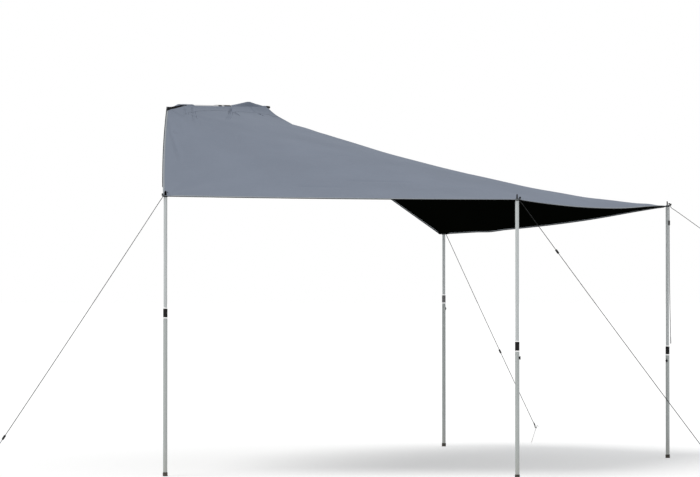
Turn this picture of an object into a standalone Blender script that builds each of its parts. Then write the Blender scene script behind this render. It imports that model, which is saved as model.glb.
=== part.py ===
"""Vehicle side awning: a taut canopy from a rod on the roof side to four telescopic poles with guy ropes.

X points away from the vehicle, Y along its side and Z up. The origin is on the ground, in the middle of the
awning without its ropes and pegs. All sizes are in metres.
"""

import math

import bmesh
import bpy
import numpy as np
from mathutils import Matrix, Vector

# Gaps between pieces
GAP = 0.0003
ROPE_GAP = 0.0005

# Plan and heights, measured from the middle of the roof edge on the ground
ROOF_EDGE_HALF = 0.890
ROOF_EDGE_NEAR_HEIGHT = 2.985
ROOF_EDGE_FAR_HEIGHT = 3.066
SIDE_POLE_X = 0.960
SIDE_POLE_Y = 2.583
FRONT_POLE_X = 3.519
FRONT_POLE_Y = 1.633

# One row for each pole: height of its shoulder, length of its lower tube, and the way its clamp screw points
POLES = {
    1: {"x": SIDE_POLE_X, "y": -SIDE_POLE_Y, "height": 2.170, "lower": 1.231, "screw_deg": 100.0},
    2: {"x": SIDE_POLE_X, "y": SIDE_POLE_Y, "height": 1.969, "lower": 1.333, "screw_deg": 60.0},
    3: {"x": FRONT_POLE_X, "y": -FRONT_POLE_Y, "height": 2.134, "lower": 0.978, "screw_deg": 9.0},
    4: {"x": FRONT_POLE_X, "y": FRONT_POLE_Y, "height": 2.169, "lower": 0.893, "screw_deg": -94.0},
}

# Canopy cloth
CLOTH = 0.0012
CORNER_MARGIN = 0.024
CORNER_CELL = 0.035
CORNER_FLAT = 0.045
CORNER_BLEND = 0.074
NEAR_EDGE_SAG = 0.006
FRONT_EDGE_SAG = 0.042
FAR_EDGE_SAG = 0.042
FRONT_LIFT = 0.030
ROOF_CORNER_SHARE = 0.28
SHEET_CELLS = 60
SHEET_PASSES = 140
FOLD_STEPS = 5
MIDDLE_STEPS = 8
DEPTH_STEPS = 14

# Corner hardware
PATCH = 0.0012
PATCH_SIDE = 0.030
PATCH_INSET = 0.002
EYELET_BORE = 0.0075
EYELET_BARREL = 0.0090
EYELET_FLANGE = 0.0130
EYELET_PLATE = 0.0008
ROOF_PATCH_ALONG_EDGE = 0.120
ROOF_PATCH_DOWN_SIDE = 0.080
ROOF_PATCH_DEPTH = 0.080
ROOF_PATCH = 0.0010

# Guy links
LINK_THICK = 0.005
LINK_RING = 0.0115
LINK_RING_HOLE = 0.0063
LINK_EYE = 0.0075
LINK_REACH = 0.030

# Poles
UPPER_RADIUS = 0.0140
UPPER_WALL = 0.0010
SLIDE_GAP = 0.0004
SPIGOT_WALL = 0.0008
LOWER_BORE = UPPER_RADIUS + SLIDE_GAP + SPIGOT_WALL + GAP
LOWER_WALL = 0.0010
LOWER_RADIUS = LOWER_BORE + LOWER_WALL
OVERLAP = 0.200
COLLAR_TALL = 0.066
COLLAR_RADIUS = LOWER_RADIUS + 0.0005
COLLAR_EDGE = 0.0015
COLLAR_SPIGOT = 0.022
BEAD_RADIUS = LOWER_RADIUS + 0.0010
BEAD_DROPS = (0.026, 0.036)
BEAD_HALF = 0.0025
SCREW_DROP = 0.056
SCREW_RADIUS = 0.003
SCREW_GAP = 0.0008
KNOB_HUB = 0.0105
KNOB_DEEP = 0.0060
KNOB_EDGE = 0.0020
WING_TALL = 0.027
WING_THICK = 0.0045
WING_OUT = 0.0090
WING_SET_IN = 0.0010
WING_EDGE = 0.0015
SHOULDER_RADIUS = UPPER_RADIUS + 0.0025
SHOULDER_TALL = 0.006
SPIKE_RADIUS = 0.0055
SPIKE_TALL = 0.045
SPIKE_POINT = 0.0025
SPIKE_NOSE = 0.0015
SPIKE_TAPER = 0.006
PLUG_DEEP = 0.030
PLUG_EDGE = 0.002
FOOT_WALL = 0.0022
FOOT_RADIUS = LOWER_RADIUS + GAP + FOOT_WALL
FOOT_TALL = 0.030
FOOT_FLOOR = 0.010
FOOT_EDGE = 0.0015
FOOT_SLOPE = 0.003

# Rod, sleeve and hooks on the roof side
ROD_RADIUS = 0.009
ROD_WALL = 0.0012
ROD_PAST_NEAR = -0.190
ROD_PAST_FAR = 0.043
SLEEVE_WALL = 0.0012
SLEEVE_BORE = 0.0105
SLEEVE_NEAR = 0.240
SLEEVE_FAR = 0.130
WINDOW_FROM = 0.25
WINDOW_TO = 0.625
WINDOW_OPEN = 0.030
WINDOW_STRIP = 0.010
CAP_RADIUS = 0.0115
CAP_LONG = 0.026
CAP_END = 0.005
CAP_EDGE = 0.002
HOOK_THICK = 0.003
HOOK_ARM = 0.042
HOOK_BEND = 0.0095
HOOK_BEND_DEG = 165.0
HOOK_GRIP_DEG = 205.0
MIDDLE_HOOK_WIDE = 0.105
NEAR_HOOK_WIDE = 0.050
NEAR_HOOK_AT = 0.512
MIDDLE_HOOK_AT = 0.585
FAR_HOOK_WIDE = 0.016
HOOK_FROM_CAP = 0.002

# Ropes, sliders and pegs
ROPE_RADIUS = 0.0025
ROPE_SAG = 0.008
ROPE_ABOVE_LINK = 0.006
ROPE_BELOW_LINK = 0.012
EYE_LOOP = 0.009
EYE_TAIL = 0.050
EYE_TAIL_OFFSET = 0.0075
SPARE_ROPE_LONG = 1.150
SPARE_ROPE_DEG = -35.0
SLIDER_LONG = 0.042
SLIDER_WIDE = 0.016
SLIDER_THICK = 0.010
PEG_RADIUS = 0.003
PEG_POINT = 0.25
PEG_LONG = 0.170
PEG_LEAN_DEG = 22.0
PEG_HOOK = 0.010
PEG_HOOK_DEG = 170.0
PEG_SEAT = 0.155
SPARE_SLIDER_DROP = 0.155

# One row for each guy: where its peg stands from its pole, and how far along the rope its slider sits
GUYS = {
    1: {"to": (-0.583, -1.560), "slider": 0.915},
    2: {"to": (0.488, 0.918), "slider": 0.61},
    3: {"to": (1.823, -0.664), "slider": 0.20},
    4: {"to": (2.360, 1.770), "slider": 0.86},
}

SIDES = 20
FINE_SIDES = 16

model = bpy.data.collections.new("side_awning")
cutters = bpy.data.collections.new("cutters")


def clear_scene():
    for obj in list(bpy.data.objects):
        bpy.data.objects.remove(obj, do_unlink=True)
    bpy.context.scene.collection.children.link(model)
    bpy.context.scene.collection.children.link(cutters)


def material(name, colour, roughness, metallic=0.0):
    mat = bpy.data.materials.get(name) or bpy.data.materials.new(name)
    mat.use_nodes = True
    shader = mat.node_tree.nodes["Principled BSDF"]
    shader.inputs["Base Color"].default_value = (*colour, 1.0)
    shader.inputs["Roughness"].default_value = roughness
    shader.inputs["Metallic"].default_value = metallic
    return mat


def cloth_grey():
    return material("cloth_grey", (0.22, 0.25, 0.30), 0.85)


def webbing_black():
    return material("webbing_black", (0.012, 0.012, 0.013), 0.9)


def aluminium():
    return material("aluminium", (0.62, 0.64, 0.63), 0.32, 1.0)


def steel():
    return material("steel", (0.55, 0.55, 0.56), 0.35, 1.0)


def plastic_black():
    return material("plastic_black", (0.015, 0.015, 0.016), 0.45)


def rubber_black():
    return material("rubber_black", (0.02, 0.02, 0.02), 0.8)


def rope_grey():
    return material("rope_grey", (0.10, 0.10, 0.105), 0.9)


def place(obj, mat, smooth_deg=35.0):
    """Puts a finished object in the awning's collection, with its material and smooth round faces."""
    for owner in list(obj.users_collection):
        owner.objects.unlink(obj)
    model.objects.link(obj)
    obj.data.materials.clear()
    obj.data.materials.append(mat)
    if obj.type == "MESH":
        obj.data.shade_smooth()
        obj.data.set_sharp_from_angle(angle=math.radians(smooth_deg))
    return obj


def hide_as_cutter(obj):
    for owner in list(obj.users_collection):
        owner.objects.unlink(obj)
    cutters.objects.link(obj)
    obj.hide_render = True
    obj.display_type = "WIRE"
    return obj


def mesh_object(name, bm):
    mesh = bpy.data.meshes.new(name)
    bm.to_mesh(mesh)
    bm.free()
    obj = bpy.data.objects.new(name, mesh)
    bpy.context.scene.collection.objects.link(obj)
    return obj


def turned(name, profile, location, sides=SIDES, closed=True):
    """A ring or a solid of revolution from (radius, height) points that run down the outside first."""
    bm = bmesh.new()
    points = [bm.verts.new((radius, 0.0, height)) for radius, height in profile]
    for first, second in zip(points, points[1:]):
        bm.edges.new((first, second))
    if closed:
        bm.edges.new((points[-1], points[0]))
    obj = mesh_object(name, bm)
    screw = obj.modifiers.new("Turn", "SCREW")
    screw.steps = sides
    screw.render_steps = sides
    screw.use_merge_vertices = True
    screw.merge_threshold = 0.00001
    obj.location = location
    return obj


def cylinder(name, radius, length, location, axis=(0.0, 0.0, 1.0), sides=SIDES):
    """A cylinder centred on a point, along an axis."""
    bm = bmesh.new()
    bmesh.ops.create_cone(bm, cap_ends=True, segments=sides, radius1=radius, radius2=radius, depth=length)
    obj = mesh_object(name, bm)
    obj.rotation_euler = Vector(axis).to_track_quat("Z", "Y").to_euler()
    obj.location = location
    return obj


def box(name, size, location, rotation=None):
    bm = bmesh.new()
    bmesh.ops.create_cube(bm, size=1.0)
    bmesh.ops.scale(bm, vec=size, verts=bm.verts)
    obj = mesh_object(name, bm)
    obj.location = location
    if rotation is not None:
        obj.rotation_euler = rotation
    return obj


def plate(name, outline, thick, location, turn=0.0):
    """A flat outline in the XY plane, extruded up from the location, as a mesh."""
    curve = bpy.data.curves.new(name, "CURVE")
    curve.dimensions = "2D"
    curve.fill_mode = "BOTH"
    curve.extrude = thick / 2
    spline = curve.splines.new("POLY")
    spline.points.add(len(outline) - 1)
    for point, (x, y) in zip(spline.points, outline):
        point.co = (x, y, 0.0, 1.0)
    spline.use_cyclic_u = True
    flat = bpy.data.objects.new(name + "_outline", curve)
    bpy.context.scene.collection.objects.link(flat)
    return made_mesh(flat, name, Matrix.Translation(Vector(location) + Vector((0.0, 0.0, thick / 2)))
                     @ Matrix.Rotation(turn, 4, "Z"))


def made_mesh(source, name, matrix):
    """The evaluated shape of a curve as a welded mesh object, and the curve removed."""
    bpy.context.view_layer.update()
    evaluated = source.evaluated_get(bpy.context.evaluated_depsgraph_get())
    mesh = bpy.data.meshes.new_from_object(evaluated)
    bm = bmesh.new()
    bm.from_mesh(mesh)
    bmesh.ops.remove_doubles(bm, verts=bm.verts, dist=0.00001)
    bmesh.ops.recalc_face_normals(bm, faces=bm.faces)
    bm.to_mesh(mesh)
    bm.free()
    mesh.name = name
    obj = bpy.data.objects.new(name, mesh)
    obj.matrix_world = matrix
    bpy.context.scene.collection.objects.link(obj)
    bpy.data.objects.remove(source, do_unlink=True)
    return obj


def tube(name, points, radius, origin, radii=None):
    """A round tube along points, with filled caps; radii are shares of the radius at the points."""
    curve = bpy.data.curves.new(name, "CURVE")
    curve.dimensions = "3D"
    curve.bevel_depth = radius
    curve.bevel_resolution = 2
    curve.use_fill_caps = True
    spline = curve.splines.new("POLY")
    spline.points.add(len(points) - 1)
    for index, point in enumerate(points):
        spline.points[index].co = (*(Vector(point) - Vector(origin)), 1.0)
        spline.points[index].radius = radii[index] if radii else 1.0
    obj = bpy.data.objects.new(name, curve)
    obj.location = origin
    return obj


def boolean(obj, other, operation="DIFFERENCE"):
    modifier = obj.modifiers.new(operation.title(), "BOOLEAN")
    modifier.operation = operation
    modifier.solver = "EXACT"
    modifier.object = other
    hide_as_cutter(other)


def bevel(obj, width, segments=1, angle_deg=40.0):
    modifier = obj.modifiers.new("Edge", "BEVEL")
    modifier.width = width
    modifier.segments = segments
    modifier.limit_method = "ANGLE"
    modifier.angle_limit = math.radians(angle_deg)


def arc(centre, radius, start_deg, end_deg, steps):
    """Points on an arc in a plane, both ends included."""
    angles = [math.radians(start_deg + (end_deg - start_deg) * step / steps) for step in range(steps + 1)]
    return [(centre[0] + radius * math.cos(a), centre[1] + radius * math.sin(a)) for a in angles]


# Plan: corners of the cloth, from the poles

def pole_point(number, height=0.0):
    pole = POLES[number]
    return Vector((pole["x"], pole["y"], height))


def roof_corner(near):
    side = -1.0 if near else 1.0
    height = ROOF_EDGE_NEAR_HEIGHT if near else ROOF_EDGE_FAR_HEIGHT
    return Vector((0.0, side * ROOF_EDGE_HALF, height))


def edges_at(number):
    """The flat directions of the two cloth edges that meet over a pole."""
    neighbours = {
        1: (roof_corner(True), pole_point(3)),
        2: (roof_corner(False), pole_point(4)),
        3: (pole_point(1), pole_point(4)),
        4: (pole_point(2), pole_point(3)),
    }[number]
    found = []
    for neighbour in neighbours:
        way = neighbour - pole_point(number)
        way.z = 0.0
        found.append(way.normalized())
    return found


def cloth_seat(number):
    """Height of the cloth's upper face over a pole's shoulder."""
    return POLES[number]["height"] + EYELET_PLATE + GAP + PATCH + GAP + CLOTH


def cloth_corner(number):
    """The tip of the cloth at a pole: past the pole, away from both edges."""
    first, second = edges_at(number)
    outward = -(first + second).normalized()
    return pole_point(number, cloth_seat(number)) + outward * CORNER_MARGIN


def middle_x():
    """The middle of the awning between its hooks and its front corners, which is where the origin lies."""
    return (cloth_corner(3).x - hook_reach()) / 2


def hook_reach():
    return HOOK_ARM + HOOK_BEND + HOOK_THICK / 2


def shifted(point):
    """A point given from the roof edge, as a point given from the origin."""
    return Vector(point) - Vector((middle_x(), 0.0, 0.0))


# Canopy: edges, a relaxed sheet between them, and flat corners round the eyelets

def edge_point(start, end, share, sag):
    point = start.lerp(end, share)
    point.z -= 4 * sag * share * (1 - share)
    return np.array(point)


def inner_edge(share):
    """From pole 1 up to the roof edge, along it, and down to pole 2."""
    turn = ROOF_CORNER_SHARE
    if share < turn:
        return edge_point(cloth_corner(1), roof_corner(True), share / turn, 0.0)
    if share <= 1 - turn:
        return edge_point(roof_corner(True), roof_corner(False), (share - turn) / (1 - 2 * turn), 0.0)
    return edge_point(roof_corner(False), cloth_corner(2), (share - 1 + turn) / turn, 0.0)


def cloth_grid():
    """Even points over the sheet: its edges joined straight across, then eased towards a stretched skin."""
    shares = np.linspace(0.0, 1.0, SHEET_CELLS + 1)
    near, far = cloth_corner(1), cloth_corner(2)
    front_near, front_far = cloth_corner(3), cloth_corner(4)
    inner = np.array([inner_edge(s) for s in shares])
    front = np.array([edge_point(front_near, front_far, s, FRONT_EDGE_SAG) for s in shares])
    near_side = np.array([edge_point(near, front_near, s, NEAR_EDGE_SAG) for s in shares])
    far_side = np.array([edge_point(far, front_far, s, FAR_EDGE_SAG) for s in shares])
    u = shares[:, None, None]
    v = shares[None, :, None]
    corners = ((1 - u) * (1 - v) * np.array(near) + u * (1 - v) * np.array(far)
               + (1 - u) * v * np.array(front_near) + u * v * np.array(front_far))
    sheet = ((1 - v) * inner[:, None] + v * front[:, None]
             + (1 - u) * near_side[None] + u * far_side[None] - corners)
    for _ in range(SHEET_PASSES):
        sheet[1:-1, 1:-1] = (sheet[2:, 1:-1] + sheet[:-2, 1:-1] + sheet[1:-1, 2:] + sheet[1:-1, :-2]) / 4
    lift = FRONT_LIFT * np.sin(math.pi * u[..., 0]) * np.sin(math.pi * v[..., 0] ** 2)
    sheet[:, :, 2] += lift
    return sheet


def read_grid(sheet, u, v):
    """A point of the sheet between its even points."""
    across, along = u * SHEET_CELLS, v * SHEET_CELLS
    i, j = min(int(across), SHEET_CELLS - 1), min(int(along), SHEET_CELLS - 1)
    s, t = across - i, along - j
    return ((1 - s) * (1 - t) * sheet[i, j] + s * (1 - t) * sheet[i + 1, j]
            + (1 - s) * t * sheet[i, j + 1] + s * t * sheet[i + 1, j + 1])


def cloth_point(sheet, u, v):
    """A point of the cloth's upper face: on its straight inner edge exactly, and flat near each pole."""
    point = Vector(inner_edge(u)) if v == 0.0 else Vector(read_grid(sheet, u, v))
    for number in POLES:
        corner = cloth_corner(number)
        away = (point - corner).to_2d().length
        share = min(max((away - CORNER_FLAT) / (CORNER_BLEND - CORNER_FLAT), 0.0), 1.0)
        share = share * share * (3 - 2 * share)
        point.z = corner.z + (point.z - corner.z) * share
    return shifted(point)


def steps_between(start, end, count):
    return [start + (end - start) * step / count for step in range(1, count)]


def across_shares():
    """Where the cloth's rows lie along its inner edge, closer together at its corners and patches."""
    turn = ROOF_CORNER_SHARE
    side = (cloth_corner(1) - roof_corner(True)).length
    small = CORNER_CELL / side * turn
    wide = CORNER_CELL / (cloth_corner(3) - cloth_corner(4)).length
    down = turn - ROOF_PATCH_DOWN_SIDE / side * turn
    along = turn + ROOF_PATCH_ALONG_EDGE / (2 * ROOF_EDGE_HALF) * (1 - 2 * turn)
    half = [0.0, small, wide, *steps_between(wide, down, FOLD_STEPS), down, turn, along]
    middle = steps_between(along, 1 - along, MIDDLE_STEPS)
    return [*half, *middle, *[1 - share for share in reversed(half)]]


def down_shares(sheet):
    """Where the cloth's columns lie from the roof side to the front, with the first one under the patches."""
    corner = CORNER_CELL / (cloth_corner(1) - cloth_corner(3)).length
    row = round(ROOF_CORNER_SHARE * SHEET_CELLS)
    first_step = float(np.linalg.norm(sheet[row, 1] - sheet[row, 0]))
    patch = ROOF_PATCH_DEPTH / first_step / SHEET_CELLS
    return [0.0, patch, corner, *steps_between(corner, 1 - corner, DEPTH_STEPS), 1 - corner, 1.0]


def grid_surface(name, rows, lift=0.0):
    """A quad surface through rows of points, raised along its normals."""
    bm = bmesh.new()
    made = [[bm.verts.new(point) for point in row] for row in rows]
    for row, next_row in zip(made, made[1:]):
        for a, b, c, d in zip(row, next_row, next_row[1:], row[1:]):
            bm.faces.new((a, b, c, d))
    bm.normal_update()
    if next(iter(bm.faces)).normal.z < 0:
        bmesh.ops.reverse_faces(bm, faces=bm.faces)
        bm.normal_update()
    if lift:
        ways = {vert: vert.normal.copy() for vert in bm.verts}
        for vert, way in ways.items():
            vert.co += way * lift
    return mesh_object(name, bm)


def solidify(obj, thick, offset):
    modifier = obj.modifiers.new("Thickness", "SOLIDIFY")
    modifier.thickness = thick
    modifier.offset = offset


def build_canopy():
    sheet = cloth_grid()
    across, down = across_shares(), down_shares(sheet)
    rows = [[cloth_point(sheet, u, v) for v in down] for u in across]
    canopy = grid_surface("canopy", rows)
    solidify(canopy, CLOTH, -1.0)
    place(canopy, cloth_grey())
    for number in POLES:
        hole = cylinder(f"canopy_hole_{number}", EYELET_BARREL + GAP, 0.05,
                        shifted(pole_point(number, cloth_seat(number))), sides=FINE_SIDES)
        boolean(canopy, hole)
    build_roof_patches(rows, across)


def build_roof_patches(rows, across):
    """Black corner patches that lie on the cloth at both ends of the roof edge."""
    for name, share in (("roof_patch_near", ROOF_CORNER_SHARE), ("roof_patch_far", 1 - ROOF_CORNER_SHARE)):
        middle = min(range(len(across)), key=lambda index: abs(across[index] - share))
        picked = [row[:2] for row in rows[middle - 1:middle + 2]]
        patch = grid_surface(name, picked, lift=2 * GAP)
        solidify(patch, ROOF_PATCH, 1.0)
        place(patch, webbing_black())


# Corners: patch under the cloth, eyelet through both, and the guy's link on top

def patch_outline(number):
    """A kite from the cloth's tip along both edges, seen from the pole."""
    first, second = edges_at(number)
    tip = cloth_corner(number) - pole_point(number, cloth_seat(number))
    inward = (first + second).normalized()
    start = tip + inward * PATCH_INSET
    far = start + (first + second) * PATCH_SIDE
    points = [start, start + first * PATCH_SIDE, far, start + second * PATCH_SIDE]
    if (points[1] - points[0]).cross(points[3] - points[0]).z < 0:
        points.reverse()
    return [(point.x, point.y) for point in points]


def build_corner(number):
    seat = POLES[number]["height"]
    below = shifted(pole_point(number, seat))
    patch_low = EYELET_PLATE + GAP
    patch = plate(f"corner_patch_{number}", patch_outline(number), PATCH,
                  below + Vector((0.0, 0.0, patch_low)))
    boolean(patch, cylinder(f"patch_hole_{number}", EYELET_BARREL + GAP, 0.02, below, sides=FINE_SIDES))
    place(patch, webbing_black())
    top = cloth_seat(number) - seat + GAP + EYELET_PLATE
    eyelet = turned(f"eyelet_{number}", [
        (EYELET_FLANGE, top),
        (EYELET_FLANGE, top - EYELET_PLATE),
        (EYELET_BARREL, top - EYELET_PLATE),
        (EYELET_BARREL, EYELET_PLATE),
        (EYELET_FLANGE, EYELET_PLATE),
        (EYELET_FLANGE, 0.0),
        (EYELET_BORE, 0.0),
        (EYELET_BORE, top),
    ], below, sides=FINE_SIDES)
    place(eyelet, steel())
    build_link(number, below + Vector((0.0, 0.0, top + GAP)))


def link_ways(number):
    """The flat directions in which a pole's link reaches: to its guy, and at pole 4 to the spare rope."""
    x, y = GUYS[number]["to"]
    ways = [math.degrees(math.atan2(y, x))]
    if number == 4:
        ways.append(SPARE_ROPE_DEG)
    return ways


def link_outline():
    """Two circles joined by their outer tangents."""
    lean = math.degrees(math.acos((LINK_RING - LINK_EYE) / LINK_REACH))
    ring = arc((0.0, 0.0), LINK_RING, lean, 360.0 - lean, 14)
    eye = arc((LINK_REACH, 0.0), LINK_EYE, -lean, lean, 8)
    return ring + eye


def build_link(number, base):
    ways = [math.radians(way) for way in link_ways(number)]
    lift = Vector((0.0, 0.0, GAP))
    link = plate(f"guy_link_{number}", link_outline(), LINK_THICK, base, ways[0])
    for way in ways[1:]:
        arm = plate(f"link_arm_{number}", link_outline(), LINK_THICK - 2 * GAP, base + lift, way)
        boolean(link, arm, "UNION")
    centre = base + Vector((0.0, 0.0, LINK_THICK / 2))
    boolean(link, cylinder(f"link_ring_{number}", LINK_RING_HOLE, 0.02, centre, sides=FINE_SIDES))
    for index, way in enumerate(ways):
        eye = centre + Vector((math.cos(way), math.sin(way), 0.0)) * LINK_REACH
        hole = cylinder(f"link_eye_{number}_{index}", ROPE_RADIUS + ROPE_GAP, 0.02, eye, sides=12)
        boolean(link, hole)
    place(link, plastic_black())


def link_top(number):
    seat = cloth_seat(number) + GAP + EYELET_PLATE + GAP
    return seat + LINK_THICK


# Poles

def build_pole(number):
    pole = POLES[number]
    base = shifted(pole_point(number))
    top = pole["height"] - GAP
    neck = top - SHOULDER_TALL
    bore = UPPER_RADIUS - UPPER_WALL
    lower_top = pole["lower"]

    tip = turned(f"pole_tip_{number}", [
        (0.0, top + SPIKE_TALL),
        (SPIKE_POINT, top + SPIKE_TALL - SPIKE_NOSE),
        (SPIKE_RADIUS, top + SPIKE_TALL - SPIKE_TAPER),
        (SPIKE_RADIUS, top),
        (SHOULDER_RADIUS, top),
        (SHOULDER_RADIUS, neck),
        (bore - GAP, neck),
        (bore - GAP, neck - PLUG_DEEP + PLUG_EDGE),
        (bore - PLUG_EDGE, neck - PLUG_DEEP),
        (0.0, neck - PLUG_DEEP),
    ], base, closed=False)
    place(tip, plastic_black())

    upper_low = lower_top - OVERLAP
    upper_top = neck - GAP
    upper = turned(f"upper_tube_{number}", [
        (UPPER_RADIUS, upper_top),
        (UPPER_RADIUS, upper_low),
        (bore, upper_low),
        (bore, upper_top),
    ], base)
    place(upper, aluminium())

    outer = [(LOWER_RADIUS, lower_top)]
    for drop in BEAD_DROPS:
        outer += [
            (LOWER_RADIUS, lower_top - drop + BEAD_HALF),
            (BEAD_RADIUS, lower_top - drop),
            (LOWER_RADIUS, lower_top - drop - BEAD_HALF),
        ]
    lower_low = FOOT_FLOOR + GAP
    lower = turned(f"lower_tube_{number}", [
        *outer,
        (LOWER_RADIUS, lower_low),
        (LOWER_BORE, lower_low),
        (LOWER_BORE, lower_top),
    ], base)
    place(lower, aluminium())

    collar = turned(f"collar_{number}", [
        (COLLAR_RADIUS - COLLAR_EDGE, lower_top + GAP + COLLAR_TALL),
        (COLLAR_RADIUS, lower_top + GAP + COLLAR_TALL - COLLAR_EDGE),
        (COLLAR_RADIUS, lower_top + GAP),
        (LOWER_BORE - GAP, lower_top + GAP),
        (LOWER_BORE - GAP, lower_top - COLLAR_SPIGOT),
        (UPPER_RADIUS + SLIDE_GAP, lower_top - COLLAR_SPIGOT),
        (UPPER_RADIUS + SLIDE_GAP, lower_top + GAP + COLLAR_TALL),
    ], base)
    place(collar, plastic_black())

    foot = turned(f"foot_{number}", [
        (LOWER_RADIUS + GAP + FOOT_WALL / 2, FOOT_TALL),
        (FOOT_RADIUS, FOOT_TALL - FOOT_SLOPE),
        (FOOT_RADIUS, FOOT_EDGE),
        (FOOT_RADIUS - FOOT_EDGE, 0.0),
        (0.0, 0.0),
        (0.0, FOOT_FLOOR),
        (LOWER_RADIUS + GAP, FOOT_FLOOR),
        (LOWER_RADIUS + GAP, FOOT_TALL),
    ], base)
    place(foot, rubber_black())
    build_clamp_screw(number, lower, base, lower_top - SCREW_DROP)


def build_clamp_screw(number, lower, base, height):
    """A thumb screw through the lower tube's wall, whose end stops just short of the upper tube."""
    turn = math.radians(POLES[number]["screw_deg"])
    way = Vector((math.cos(turn), math.sin(turn), 0.0))
    centre = base + Vector((0.0, 0.0, height))
    hub_inner = LOWER_RADIUS + SCREW_GAP
    hub_outer = hub_inner + KNOB_DEEP
    shank_inner = UPPER_RADIUS + SLIDE_GAP
    hole = cylinder(f"screw_hole_{number}", SCREW_RADIUS + GAP, 0.02, centre + way * LOWER_RADIUS, way, 12)
    boolean(lower, hole)
    knob = turned(f"clamp_screw_{number}", [
        (0.0, hub_outer),
        (KNOB_HUB - KNOB_EDGE, hub_outer),
        (KNOB_HUB, hub_outer - KNOB_EDGE),
        (KNOB_HUB, hub_inner),
        (SCREW_RADIUS, hub_inner),
        (SCREW_RADIUS, shank_inner),
        (0.0, shank_inner),
    ], centre, sides=12, closed=False)
    knob.rotation_euler = way.to_track_quat("Z", "X").to_euler()
    wing_low = hub_inner + WING_SET_IN
    wing_deep = WING_OUT - WING_SET_IN
    wing = box(f"wing_{number}", (wing_deep, WING_THICK, WING_TALL),
               centre + way * (wing_low + wing_deep / 2), (0.0, 0.0, turn))
    bevel(wing, WING_EDGE)
    boolean(knob, wing, "UNION")
    place(knob, plastic_black())


# Roof side: rod, sleeve, caps and hooks

def sleeve_drop():
    """How far the sleeve hangs below the rod that lies in it."""
    return SLEEVE_BORE - ROD_RADIUS - GAP


def rod_frame():
    """The rod's middle, its direction and its length between the cloth's roof corners."""
    lift = Vector((0.0, 0.0, SLEEVE_BORE + SLEEVE_WALL + sleeve_drop() + GAP))
    start, end = roof_corner(True) + lift, roof_corner(False) + lift
    return shifted((start + end) / 2), (end - start).normalized(), (end - start).length


def along_rod(distance):
    middle, way, _ = rod_frame()
    return middle + way * distance


def rod_turn():
    """The rotation that lays an object's Z axis along the rod, with its X axis away from the vehicle."""
    _, way, _ = rod_frame()
    side = Vector((1.0, 0.0, 0.0))
    third = way.cross(side).normalized()
    return Matrix((side, third, way)).transposed().to_euler()


def build_roof_side():
    middle, way, long = rod_frame()
    rod_near, rod_far = -long / 2 - ROD_PAST_NEAR, long / 2 + ROD_PAST_FAR
    sleeve_near, sleeve_far = SLEEVE_NEAR - long / 2, long / 2 - SLEEVE_FAR
    rod = turned("spreader_rod", [
        (ROD_RADIUS, rod_far),
        (ROD_RADIUS, rod_near),
        (ROD_RADIUS - ROD_WALL, rod_near),
        (ROD_RADIUS - ROD_WALL, rod_far),
    ], middle, sides=FINE_SIDES)
    rod.rotation_euler = rod_turn()
    place(rod, aluminium())

    outside = SLEEVE_BORE + SLEEVE_WALL
    sleeve = turned("hem_sleeve", [
        (outside, sleeve_far),
        (outside, sleeve_near),
        (SLEEVE_BORE, sleeve_near),
        (SLEEVE_BORE, sleeve_far),
    ], middle - Vector((0.0, 0.0, sleeve_drop())), sides=FINE_SIDES)
    sleeve.rotation_euler = rod_turn()
    window_from = (WINDOW_FROM - 0.5) * long
    window_to = (WINDOW_TO - 0.5) * long
    window = box("sleeve_window", (WINDOW_OPEN * 2, WINDOW_OPEN * 2, window_to - window_from),
                 along_rod((window_from + window_to) / 2) + Vector((WINDOW_OPEN - WINDOW_STRIP, 0.0, 0.0)),
                 rod_turn())
    boolean(sleeve, window)
    place(sleeve, cloth_grey())

    for name, side, end in (("rod_cap_near", -1.0, rod_near), ("rod_cap_far", 1.0, rod_far)):
        cap = turned(name, [
            (CAP_RADIUS - CAP_EDGE, CAP_END),
            (CAP_RADIUS, CAP_END - CAP_EDGE),
            (CAP_RADIUS, CAP_END - CAP_LONG),
            (ROD_RADIUS + GAP, CAP_END - CAP_LONG),
            (ROD_RADIUS + GAP, -GAP),
            (0.0, -GAP),
            (0.0, CAP_END),
        ], along_rod(end + side * GAP), sides=FINE_SIDES)
        cap.rotation_euler = rod_turn()
        if side < 0:
            cap.rotation_euler = (Vector(-way)).to_track_quat("Z", "Y").to_euler()
        place(cap, plastic_black())

    build_hook("roof_hook_middle", (MIDDLE_HOOK_AT - 0.5) * long, MIDDLE_HOOK_WIDE)
    build_hook("roof_hook_near", (NEAR_HOOK_AT - 0.5) * long, NEAR_HOOK_WIDE)
    build_hook("roof_hook_far", far_hook_place(), FAR_HOOK_WIDE)


def far_hook_place():
    """Along the rod, just inside its far cap."""
    _, _, long = rod_frame()
    return long / 2 + ROD_PAST_FAR - CAP_LONG + CAP_END - FAR_HOOK_WIDE / 2 - HOOK_FROM_CAP


def hook_outline():
    """A strip bent round the rod from below, straight along its arm and down into a hook."""
    grip = ROD_RADIUS + GAP + HOOK_THICK / 2
    half = HOOK_THICK / 2
    bend_centre = (-HOOK_ARM, grip - HOOK_BEND)
    outer = arc((0.0, 0.0), grip + half, 90.0 - HOOK_GRIP_DEG, 90.0, 12)
    outer += arc(bend_centre, HOOK_BEND + half, 90.0, 90.0 + HOOK_BEND_DEG, 9)
    inner = arc(bend_centre, HOOK_BEND - half, 90.0 + HOOK_BEND_DEG, 90.0, 9)
    inner += arc((0.0, 0.0), grip - half, 90.0, 90.0 - HOOK_GRIP_DEG, 12)
    return outer + inner


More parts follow.
